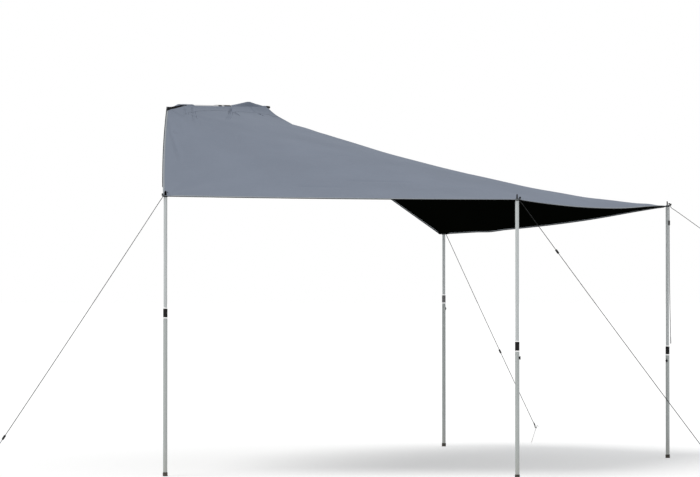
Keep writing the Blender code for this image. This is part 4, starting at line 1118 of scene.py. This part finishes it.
def buildRopes():
    for number, guy in guySet.items():
        route = guyRoute(number)
        line, stopper = ropeAndKnot(f"guyRope{number}", f"guy_rope_{number}", f"stopperKnot{number}", route,
                                    knot["guyRise"])
        _, loop, pull, _ = guyEnds(number)
        side = guySide(pull)
        start = loop + pull * whipping["at"] - side * rope["tailOffset"] / 2
        level = rope["radius"] + whipping["thread"] * whipping["sink"]
        across = (rope["radius"] * 2 + rope["tailOffset"]) / 2 + whipping["thread"] * whipping["sink"]
        wound = ringMesh(basis(start, side, np.cross(pull, side), pull), threadBlack, Count=whipping["turns"],
                         Spacing=whipping["spacing"], Radius=level, Stretch=across / level,
                         Bead=whipping["thread"], Sides=whipping["sides"])
        wound = addPiece(f"guyWhipping{number}", wound)


def buildLashing():
    start = polePoint(1, poleSet[1]["height"] + rope["linkTop"] + lashing["cord"] + plan["gap"])
    turns = np.linspace(0.0, lashing["turns"] * 2 * math.pi, lashing["turns"] * lashing["perTurn"])
    climb = (lashing["tall"] - 2 * lashing["cord"]) / turns[-1]
    line = [start + flatWay(t) * lashing["radius"] + upBy(climb * t) for t in turns]
    wound = line[-1]
    out, rise = lashing["drift"]
    for k in range(1, lashing["tailSteps"] + 1):
        bend = math.radians(k * lashing["tailBend"])
        line.append(wound + lashing["tail"] * 0.5
                    * np.array([math.sin(bend), math.sin(bend) * out + k * rise, -(1 - math.cos(bend))]))
    shell = tubeAlong(line, lashing["cord"], lashing["sides"])
    meshPiece("spikeLashing", shell, "webbing_black", webbingBlack)


def buildSpareRope():
    route = spareRoute()
    line, stopper = ropeAndKnot("spareRope", "spare_rope", "stopperKnotSpare", route, knot["spareRise"])
    way = unit(route[-1] - route[-2])
    middle = [route[-1] + way * (level - endPiece["above"]) for level in endPiece["levels"]]
    shell = tubeAlong(middle, endPiece["radii"], endPiece["sides"])
    end = meshPiece("spareRopeEnd", shell, "plastic_black", endGrey)


buildRopes()
buildLashing()
buildSpareRope()
print("ropes made")

# Hem, sleeve and patches on the cloth

hem = dict(wide=0.014, narrow=0.0026, thick=0.0008, middle=1.1, lift=0.0003, mapStep=0.003,
           cornerFrom=0.048, cornerReach=0.05, cornerClear=0.008, mitre=0.3,    # narrower round the corners
           seam=0.0018, sink=0.3, stitches=dict(Pitch=0.0052, Length=0.0036, Thread=0.00042, Jitter=0.06),
           piping=0.0027, pipingIn=0.8, pipingSides=10,
           tape=0.0032, tapeOut=0.6, tapeSides=8, tapeStop=1.4)


def rimStations():  # points round the free edges between the roof corners, with inward and up directions
    spots = [(i, 0) for i in range(roofRows[0], -1, -1)]
    spots += blockRim(0, rowCount - 1, 0, columnCount - 1)[::-1][:-roofRows[1]]
    cornerSpots = {(0, 0), (0, columnCount - 1), (rowCount - 1, columnCount - 1), (rowCount - 1, 0)}
    points = np.array([clothGrid[s] for s in spots])
    ups = np.array([clothNormals[s] for s in spots])
    ways = np.gradient(points, axis=0)
    ways /= np.linalg.norm(ways, axis=1, keepdims=True)
    inward = np.cross(ups, ways)
    middle = clothGrid[rowCount // 2, columnCount // 2]
    for k in range(len(spots)):
        if inward[k].dot(middle - points[k]) < 0:
            inward[k] = -inward[k]
    inward /= np.linalg.norm(inward, axis=1, keepdims=True)
    reach = np.full(len(spots), np.inf)
    stretch = np.ones(len(spots))
    keep = np.ones(len(spots), bool)
    for k, spot in enumerate(spots):
        if spot not in cornerSpots:
            continue
        before, after = unit(points[k - 1] - points[k]), unit(points[k + 1] - points[k])
        inward[k] = unit(before + after)
        stretch[k] = 1 / max(np.linalg.norm(np.cross(inward[k], after)), hem["mitre"])
        away = np.linalg.norm(points - points[k], axis=1)
        reach = np.minimum(reach, away)
        keep &= (away > hem["cornerClear"]) | (np.arange(len(spots)) == k)
    full = smoothStep((reach - hem["cornerFrom"]) / hem["cornerReach"])
    wide = hem["narrow"] + (hem["wide"] - hem["narrow"]) * full
    return points[keep], ups[keep], inward[keep], (wide * stretch)[keep]


def buildHem():
    points, ups, inward, wide = rimStations()
    thick, lift, cloth = hem["thick"], hem["lift"], plan["cloth"]
    out, swollen = lift + thick, thick * hem["middle"]
    profile = [                         # share of the hem's width, way out past it and height
        (1.0, 0.0, lift), (1.0, 0.0, lift + thick), (0.5, 0.0, lift + swollen), (0.0, 0.0, lift + thick),
        (0.0, -out, -cloth * 0.3), (0.0, -out, -cloth * 0.7), (0.0, 0.0, -cloth - lift - thick),
        (0.5, 0.0, -cloth - lift - swollen), (1.0, 0.0, -cloth - lift - thick), (1.0, 0.0, -cloth - lift),
        (0.0, 0.0, -cloth - lift), (0.0, -lift, -cloth * 0.5), (0.0, 0.0, lift)]
    rings = [[point + way * (share * reach + extra) + up * height for share, extra, height in profile]
             for point, up, way, reach in zip(points, ups, inward, wide)]
    across = [k * hem["mapStep"] for k in range(len(profile) + 1)]
    shell = ringWall(rings, across, runLengths(points), ((0.0, 0.0), (0.0, 0.0)))
    meshPiece("canopyHem", shell, "cloth_grey", hemGrey)
    bead = points + inward * hem["piping"] * hem["pipingIn"] - ups * (cloth + lift + swollen + hem["piping"])
    meshPiece("edgePiping", tubeAlong(bead, hem["piping"], hem["pipingSides"]), "webbing_black", webbingBlack)
    last = roofRow - int(canopy["cornerCells"] * hem["tapeStop"])
    side = points[:last] - inward[:last] * hem["tape"] * hem["tapeOut"] - ups[:last] * cloth / 2
    meshPiece("nearEdgeTape", tubeAlong(side, hem["tape"], hem["tapeSides"]), "webbing_black", webbingBlack)
    sink = hem["stitches"]["Thread"] * hem["sink"]
    for name, height, finish in (("hemStitchesTop", lift + swollen + sink, threadGrey),
                                 ("hemStitchesUnder", -cloth - lift - swollen - sink, threadBlack)):
        seam = [point + way * (reach - hem["seam"]) + up * height
                for point, up, way, reach in zip(points, ups, inward, wide)]
        stitchPiece(name, [seam], finish, "cloth_grey", **hem["stitches"])


sleeve = dict(rodRise=0.0132, drop=0.0012, inner=0.0103, wall=0.0013, shortNear=0.240, shortFar=0.130,
              windowFrom=0.25, windowTo=0.625, stripTurn=40.0, overlap=0.001, ringStep=0.010, sides=36,
              wrinkle=0.0007, waves=(61.0, 23.0, 143.0), smallWave=0.6, tuck=0.03, calm=0.4, mapStep=0.002)
gather = dict(start=0.625, top=0.795, topEnd=0.825, end=0.965, rise=0.034, ease=1.2,       # cloth pulled up
              turn=100.0, sharp=3.0)
hookSlots = ((0.492, 0.532), (0.550, 0.620))    # shares of the rod where the strip stops for a hook


def rodFrame():
    start, end = (roofCorner(which) + upBy(sleeve["rodRise"]) for which in (-1, 1))
    way = unit(end - start)
    side = np.array([1.0, 0.0, 0.0])
    return (start + end) / 2, way, side, unit(np.cross(side, way)), float(np.linalg.norm(end - start))


def gatherRise(share, turn):
    if not gather["start"] < share < gather["end"]:
        return 0.0
    along = min((share - gather["start"]) / (gather["top"] - gather["start"]),
                (gather["end"] - share) / (gather["end"] - gather["topEnd"]), 1.0)
    lean = max(0.0, math.cos(turn - math.radians(gather["turn"]))) ** gather["sharp"]
    return gather["rise"] * along ** gather["ease"] * lean


def sleeveRipple(place, turn):
    broad, slow, quick = sleeve["waves"]
    ripple = math.sin(place * broad + 2.0 * math.sin(turn)) * math.sin(turn * 2.0 + place * slow)
    return ripple + sleeve["smallWave"] * math.sin(place * quick + turn * 3.0)


def sleeveShell(low, high, turnFrom=0.0, turnTo=360.0):  # a bent wall between two places along the rod
    middle, way, side, up, long = rodFrame()
    middle = middle - upBy(sleeve["drop"])
    closedRound = turnTo - turnFrom == 360.0
    places = np.linspace(low, high, max(3, int((high - low) / sleeve["ringStep"])))
    steps = sleeve["sides"] if closedRound else max(6, int(sleeve["sides"] * (turnTo - turnFrom) / 360))
    turns = np.radians(np.linspace(turnFrom, turnTo, steps, endpoint=not closedRound))
    verts, faces, corners = [], [], []
    for place in places:
        full = min(1.0, min(place - low, high - place) / sleeve["tuck"])
        depth = sleeve["wrinkle"] * (sleeve["calm"] + (1 - sleeve["calm"]) * full)
        for wallSide in (0, 1):
            for turn in turns:
                radius = sleeve["inner"] + wallSide * sleeve["wall"] + depth * sleeveRipple(place, turn)
                rise = gatherRise(place / long + 0.5, turn) if closedRound else 0.0
                verts.append(tuple(middle + way * place + side * (radius * math.cos(turn))
                                   + up * (radius * math.sin(turn) + rise)))
    count = len(turns)
    ring = 2 * count

    def quad(face, uvs):
        faces.append(tuple(face))
        corners.extend(uvs)

    spans = count if closedRound else count - 1
    across = [k * sleeve["mapStep"] for k in range(spans)]
    for row in range(len(places) - 1):
        near, far = places[row], places[row + 1]
        for k in range(spans):
            a, b = row * ring + k, row * ring + (k + 1) % count
            nextAcross = across[k] + sleeve["mapStep"]
            uvs = [(across[k], near), (nextAcross, near), (nextAcross, far), (across[k], far)]
            quad((b, a, a + ring, b + ring), uvs)
            quad((a + count, b + count, b + count + ring, a + count + ring), uvs)
        if not closedRound:
            for k, turned in ((0, False), (count - 1, True)):
                a = row * ring + k
                face = (a, a + count, a + count + ring, a + ring)
                quad(reversed(face) if turned else face, [(0.0, near)] * 4)
    for row, turned in ((0, False), (len(places) - 1, True)):
        for k in range(spans):
            a, b = row * ring + k, row * ring + (k + 1) % count
            face = (a, b, b + count, a + count)
            quad(reversed(face) if turned else face, [(across[k], 0.0)] * 4)
    return verts, faces, corners


def buildSleeve():
    long = rodFrame()[4]
    windowFrom, windowTo = (sleeve["windowFrom"] - 0.5) * long, (sleeve["windowTo"] - 0.5) * long
    shells = [sleeveShell(sleeve["shortNear"] - long / 2, windowFrom),
              sleeveShell(windowTo, long / 2 - sleeve["shortFar"])]
    starts = [windowFrom - sleeve["overlap"], *((share - 0.5) * long for _, share in hookSlots)]
    stops = [*((share - 0.5) * long for share, _ in hookSlots), windowTo + sleeve["overlap"]]
    shells += [sleeveShell(low, high, 180.0 - sleeve["stripTurn"], 180.0 + sleeve["stripTurn"])
               for low, high in zip(starts, stops)]
    piece = meshPiece("hemSleeve", joinShells(shells), "cloth_grey", canopyTop)
    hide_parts("hem_sleeve")


def slabShell(verts, rowTotal, columnTotal, rowSize, columnSize):  # closes two grids of points into a slab
    size = rowTotal * columnTotal
    faces, corners = [], []
    first, nextRow, nextColumn = (np.array(verts[size + k]) for k in (0, columnTotal, 1))
    flip = np.cross(nextRow - first, nextColumn - first).dot(first - verts[0]) < 0

    def quad(face, uvs):
        faces.append(tuple(reversed(face)) if flip else face)
        corners.extend(reversed(uvs) if flip else uvs)

    for i in range(rowTotal - 1):
        for j in range(columnTotal - 1):
            a = i * columnTotal + j
            face = (a, a + columnTotal, a + columnTotal + 1, a + 1)
            uvs = [(i * rowSize, j * columnSize), ((i + 1) * rowSize, j * columnSize),
                   ((i + 1) * rowSize, (j + 1) * columnSize), (i * rowSize, (j + 1) * columnSize)]
            quad(tuple(size + k for k in face), uvs)
            quad(tuple(reversed(face)), list(reversed(uvs)))
    rim = [i * columnTotal + j for i, j in blockRim(0, rowTotal - 1, 0, columnTotal - 1)]
    for a, b in zip(rim, rim[1:] + rim[:1]):
        quad((a, b, size + b, size + a), [(0.0, 0.0)] * 4)
    return verts, faces, corners


# Cloth that is drawn over the rod's front and sewn down below it, and the black straps at the two corners

drape = dict(radius=0.0134, leastRadius=0.001, wall=0.0005, clear=0.0004, front=4.0, back=150.0,
             windowTop=6.0, windowBlend=0.018, taper=0.22, start=0.002, farEnd=0.030, fall=0.0236, reach=0.12,
             clothFrom=1.13, ripple=0.0005, rippleRate=47.0, step=0.012, turns=16, across=24, bandCells=30,
             mapStep=0.004, columnRow=20,       # the row after the roof corner that gives the columns' width
             seamIn=0.003, seamLift=0.0002,
             stitches=dict(Pitch=0.005, Length=0.0034, Thread=0.0004, Jitter=0.06))
strap = dict(places=(-0.110, -0.070, -0.040, 0.000, 0.045, 0.115, 0.200, 0.310),   # from the near roof corner
             low=(0.002, 0.014, 0.030, 0.044, 0.042, 0.034, 0.022, -0.001),
             high=(0.000, 0.000, 0.000, 0.002, 0.006, 0.001, -0.004, -0.005),
             cells=48, faces=(0.0003, 0.0014), mapRow=0.009, mapColumn=0.001)
farStrap = dict(radius=0.0118, sides=28, rings=5, over=0.004, past=0.012)      # round the rod's far end


def drapePath(along, lift, topTurn):  # over the rod's front and onto the cloth, and how long it is at the rod
    _, _, side, up, long = rodFrame()
    share = along / long
    full = float(smoothStep(along / drape["taper"])) ** 2
    edgeStep = long / (roofRows[1] - roofRows[0])
    sideStep = np.linalg.norm(clothGrid[roofRow - 1, 0] - clothGrid[roofRow, 0])
    row = roofRow + along / (edgeStep if along > 0 else sideStep)
    centre = clothAt(row, 0.0) + upBy((sleeve["rodRise"] - sleeve["drop"]) * full)
    radius = max(drape["radius"] * full, drape["leastRadius"]) + lift
    radius += drape["ripple"] * full * math.sin(along * drape["rippleRate"])
    path = []
    for turn in np.radians(np.linspace(topTurn, drape["front"], drape["turns"])):
        rise = gatherRise(share, turn)
        path.append(centre + side * (radius * math.cos(turn)) + up * (radius * math.sin(turn) + rise))
    wideRow = roofRow + drape["columnRow"]
    columnStep = np.linalg.norm(clothGrid[wideRow, 1] - clothGrid[wideRow, 0])
    start = drape["start"] + radius * drape["clothFrom"] * full
    for depth in np.linspace(start, drape["reach"], drape["across"]):
        fall = drape["fall"] * full * (1 - depth / drape["reach"]) ** 2
        path.append(clothAt(row, depth / columnStep, drape["clear"] + lift + fall))
    lengths = runLengths(path)
    return np.array(path), lengths, lengths[drape["turns"] - 1]


def windowTurn(share):  # how far up the rod's front the cloth reaches
    blend = drape["windowBlend"]
    inside = smoothStep((share - sleeve["windowFrom"] + blend) / blend)
    inside *= smoothStep((sleeve["windowTo"] + blend - share) / blend)
    return drape["back"] + (drape["windowTop"] - drape["back"]) * float(inside)


def bandPiece(name, places, lengthsAt, lifts, mapSteps, slotName, finish):  # a slab along the drape's paths
    verts = []
    for lift in lifts:
        for along in places:
            topTurn, first, last = lengthsAt(along)
            path, lengths, foot = drapePath(along, lift, topTurn)
            start = 0.0 if first is None else foot + first
            stop = lengths[-1] if last is None else foot + last
            spots = np.linspace(start, stop, drape["bandCells"])
            verts += list(zip(*(np.interp(spots, lengths, path[:, k]) for k in range(3))))
    return meshPiece(name, slabShell(verts, len(places), drape["bandCells"], *mapSteps), slotName, finish)


def buildDrape():
    long = rodFrame()[4]
    places = np.linspace(drape["start"], long - drape["farEnd"], int(long / drape["step"]))
    bandPiece("sleeveDrape", places, lambda along: (windowTurn(along / long), None, None),
              (0.0, drape["wall"]), (drape["step"], drape["mapStep"]), "cloth_grey", canopyTop)
    seam = []
    for along in places[2:-2]:
        path, lengths, _ = drapePath(along, drape["wall"] + drape["seamLift"], drape["back"])
        seam.append([np.interp(lengths[-1] - drape["seamIn"], lengths, path[:, k]) for k in range(3)])
    stitchPiece("sleeveStitches", [seam], threadGrey, "cloth_grey", **drape["stitches"])


def buildStraps():
    def lengthsAt(along):
        high, low = (np.interp(along, strap["places"], strap[side]) for side in ("high", "low"))
        return drape["back"], high, low

    places = np.linspace(strap["places"][0], strap["places"][-1], strap["cells"])
    lifts = [drape["wall"] + face for face in strap["faces"]]
    piece = bandPiece("roofPatchNear", places, lengthsAt, lifts, (strap["mapRow"], strap["mapColumn"]),
                      "webbing_black", webbingBlack)
    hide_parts("roof_patch_near")
    middle, way, _, _, long = rodFrame()
    start, end = (middle + way * (long / 2 - back)
                  for back in (drape["farEnd"] + farStrap["over"], -farStrap["past"]))
    line = [start + (end - start) * t for t in np.linspace(0, 1, farStrap["rings"])]
    shell = tubeAlong(line, farStrap["radius"], farStrap["sides"])
    meshPiece("rodStrapFar", shell, "webbing_black", webbingBlack)


patchStitches = dict(Pitch=0.0045, Length=0.003, Thread=0.0004, Jitter=0.05)
farPatch = dict(alongEdge=0.120, downSide=0.080, depth=0.078, leastDepth=0.004, lift=0.0003, thick=0.0010,
                taper=1.3, sideTaper=0.75, cells=28, columns=6, mapRow=0.007, mapColumn=0.014,
                seams=(0.86, 0.10), seamLift=0.0002)


def buildFarPatch():  # on the cloth at the far roof corner
    corner, inward = roofRows[1], -1
    edgeStep = np.linalg.norm(clothGrid[corner + inward, 0] - clothGrid[corner, 0])
    sideStep = np.linalg.norm(clothGrid[corner - inward, 0] - clothGrid[corner, 0])
    columnStep = np.linalg.norm(clothGrid[corner, 1] - clothGrid[corner, 0])
    sideRows, edgeRows = farPatch["downSide"] / sideStep, farPatch["alongEdge"] / edgeStep
    stations = []
    for share in np.linspace(0.0, 1.0, farPatch["cells"] + 1):
        place = -sideRows + (sideRows + edgeRows) * share
        taper = 1 - place / edgeRows if place > 0 else 1 + place / sideRows * farPatch["sideTaper"]
        depth = max(farPatch["depth"] * max(taper, 0.0) ** farPatch["taper"], farPatch["leastDepth"])
        stations.append((corner + inward * place, depth / columnStep))
    columns = np.linspace(0.0, 1.0, farPatch["columns"])
    lifts = (farPatch["lift"], farPatch["lift"] + farPatch["thick"])
    verts = [clothAt(row, depth * column, lift)
             for lift in lifts for row, depth in stations for column in columns]
    shell = slabShell(verts, len(stations), len(columns), farPatch["mapRow"], farPatch["mapColumn"])
    piece = meshPiece("roofPatchFar", shell, "webbing_black", webbingBlack)
    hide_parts("roof_patch_far")
    seams = [[clothAt(row, depth * share, lifts[1] + farPatch["seamLift"]) for row, depth in stations[1:-1]]
             for share in farPatch["seams"]]
    stitchPiece("roofPatchFarStitches", seams, threadBlack, "webbing_black", **patchStitches)


cornerPatch = dict(side=0.029, inset=0.004, low=0.0011, thick=0.0012, hole=0.0093, holeSides=20,
                   round=0.006, roundSteps=5, seamIn=0.86, seamDrop=0.0002, seamSteps=6)


def roundedOutline(points, radius, steps):
    rounded = []
    for before, here, after in zip(points[-1:] + points[:-1], points, points[1:] + points[:1]):
        first, second = unit(before - here), unit(after - here)
        for t in (step / steps for step in range(steps + 1)):
            rounded.append(here + first * radius * (1 - t) ** 2 + second * radius * t ** 2)
    return rounded


def patchShell(outline, seat):  # a flat patch with a round hole over the pole
    hole = [flatWay(turn) * cornerPatch["hole"] for turn in fullTurn(cornerPatch["holeSides"])]
    verts, rings = [], []
    for level in (cornerPatch["low"], cornerPatch["low"] + cornerPatch["thick"]):
        outer = [len(verts) + k for k in range(len(outline))]
        inner = [len(verts) + len(outline) + k for k in range(len(hole))]
        verts += [tuple(p + upBy(level)) for p in outline] + [tuple(seat + upBy(level) + p) for p in hole]
        rings.append((outer, inner))
    (lowOuter, lowInner), (highOuter, highInner) = rings
    faces = zipRings(highOuter, highInner, verts, seat)
    faces += [tuple(reversed(face)) for face in zipRings(lowOuter, lowInner, verts, seat)]
    for low, high, turned in ((lowOuter, highOuter, False), (lowInner, highInner, True)):
        for k in range(len(low)):
            m = (k + 1) % len(low)
            face = (low[k], low[m], high[m], high[k])
            faces.append(tuple(reversed(face)) if turned else face)
    return verts, faces, [(verts[k][0], verts[k][1]) for face in faces for k in face]


def buildCornerPatches():
    for number in poleSet:
        first, second = edgeWays(number)
        seat = polePoint(number, poleSet[number]["height"])
        tip = clothCorner(number) * np.array([1.0, 1.0, 0.0]) + upBy(seat[2])
        start = tip + unit(first + second) * cornerPatch["inset"]
        square = [start + way * cornerPatch["side"] for way in (np.zeros(3), first, first + second, second)]
        if np.cross(square[1] - square[0], square[3] - square[0])[2] < 0:
            square.reverse()
        outline = roundedOutline(square, cornerPatch["round"], cornerPatch["roundSteps"])
        piece = meshPiece(f"cornerPatch{number}", patchShell(outline, seat), "webbing_black", webbingBlack)
        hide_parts(f"corner_patch_{number}")
        centre = sum(square) / 4
        under = upBy(cornerPatch["low"] - cornerPatch["seamDrop"])
        box = [centre + (p - centre) * cornerPatch["seamIn"] + under for p in square]
        lines = [[here + (after - here) * t for t in np.linspace(0, 1, cornerPatch["seamSteps"])]
                 for here, after in zip(box, box[1:] + box[:1])]
        stitchPiece(f"cornerStitches{number}", lines, threadBlack, "webbing_black", **patchStitches)


buildHem()
buildSleeve()
buildDrape()
buildStraps()
buildFarPatch()
buildCornerPatches()
print("hem, sleeve and patches made")

# Rings and ribs on the hardware

tube = dict(upper=0.0140, lower=0.0165)
collarGrip = dict(tall=0.066, radius=0.0170, rings=4, spacing=0.0034, bead=0.00055, fromTop=0.017)
footRings = dict(radius=0.0190, rings=3, spacing=0.0065, bead=0.0008, low=0.0065)
sliderRibs = dict(rings=5, spacing=0.0052, wide=0.0081, level=0.0051, bead=0.0006, sides=24, reach=0.01)
spareSliderDrop = 0.155
ferrules = dict(tall=0.0085, wall=0.0013, gap=0.0004, sides=40)     # the bright rings at each collar


def turnedShell(profile, base, sides):  # a closed profile of (radius, height), turned round the Z axis
    verts, faces, corners = [], [], []
    count = len(profile)
    for turn in fullTurn(sides):
        verts += [tuple(base + flatWay(turn) * radius + upBy(height)) for radius, height in profile]
    for k in range(sides):
        m = (k + 1) % sides
        for a in range(count):
            b = (a + 1) % count
            faces.append((k * count + a, m * count + a, m * count + b, k * count + b))
            corners += [(k / sides, a / count)] * 4
    return verts, faces, corners


def buildFerrules(number, pole):
    tall, wall, gap = ferrules["tall"], ferrules["wall"], ferrules["gap"]
    top = pole["lower"] + plan["gap"] + collarGrip["tall"] + gap
    shells = []
    for inner, low in ((tube["upper"] + gap, top), (tube["lower"] + gap / 2, pole["lower"] - tall)):
        outer, edge = inner + wall, wall / 2
        profile = [(inner, low), (outer - edge, low), (outer, low + edge), (outer, low + tall - edge),
                   (outer - edge, low + tall), (inner, low + tall)]
        shells.append(turnedShell(profile, polePoint(number), ferrules["sides"]))
    meshPiece(f"ferrules{number}", joinShells(shells), "steel", ferruleBright, body=f"pole_foot_{number}")


def poleRings(name, number, rings, low, finish):
    made = ringMesh(Matrix.Translation(Vector(polePoint(number, low))), finish, Count=rings["rings"],
                    Spacing=rings["spacing"], Radius=rings["radius"], Bead=rings["bead"])
    addPiece(f"{name}{number}", made, f"pole_foot_{number}")


def ribRow(name, centre, way, body):
    side = np.cross(way, (0.0, 0.0, 1.0))
    side = unit(side) if np.linalg.norm(side) > 0.1 else np.array([0.0, 1.0, 0.0])
    third = unit(np.cross(way, side))
    start = centre - way * sliderRibs["spacing"] * (sliderRibs["rings"] - 1) / 2
    made = ringMesh(basis(start, side, third, way), mouldedBlack, Count=sliderRibs["rings"],
                    Spacing=sliderRibs["spacing"], Radius=sliderRibs["level"],
                    Stretch=sliderRibs["wide"] / sliderRibs["level"], Bead=sliderRibs["bead"],
                    Sides=sliderRibs["sides"])
    addPiece(name, made, body)


def buildHardware():
    for number, pole in poleSet.items():
        buildFerrules(number, pole)
        low = pole["lower"] + plan["gap"] + collarGrip["tall"] - collarGrip["fromTop"]
        poleRings("collarRings", number, collarGrip, low, collarGrey if number == 2 else mouldedBlack)
        poleRings("footRings", number, footRings, footRings["low"], footRubber)
        share, reach = guySet[number]["slider"], sliderRibs["reach"]
        ribRow(f"sliderRibs{number}", guyPoint(number, share),
               unit(guyPoint(number, share + reach) - guyPoint(number, share - reach)), f"runner_{number}")
    eye = linkEye(4, spareRope["wayDeg"])
    ribRow("spareSliderRibs", eye - upBy(spareSliderDrop), upBy(-1.0), "spare_runner")


buildHardware()
print("rings and ribs made")

# Finishes of the nodes that stay as they are, by the start of their names; of two that fit, the later counts

nodeFinishes = {
    # the upper tubes' lighter copy of the pole alloy is painted light
    "upper_tube": upperAlloyPaintedLight, "lower_tube": poleAlloy, "spreader_rod": rodAlloy, "eyelet": zincSteel,
    "peg": zincSteel, "foot": footRubber, "guy_link": mouldedBlack, "slider": mouldedBlack,
    "spare_slider": mouldedBlack, "pole_tip": mouldedBlack, "collar": mouldedBlack,
    "clamp_screw": mouldedBlack, "rod_cap": mouldedBlack, "roof_hook": mouldedBlack, "collar_2": collarGrey,
}
for nodeName, node in cadNodes.items():
    for start, finish in nodeFinishes.items():
        if nodeName.startswith(start):
            node.data.materials.clear()
            node.data.materials.append(finish)
print("finishes laid on the nodes")
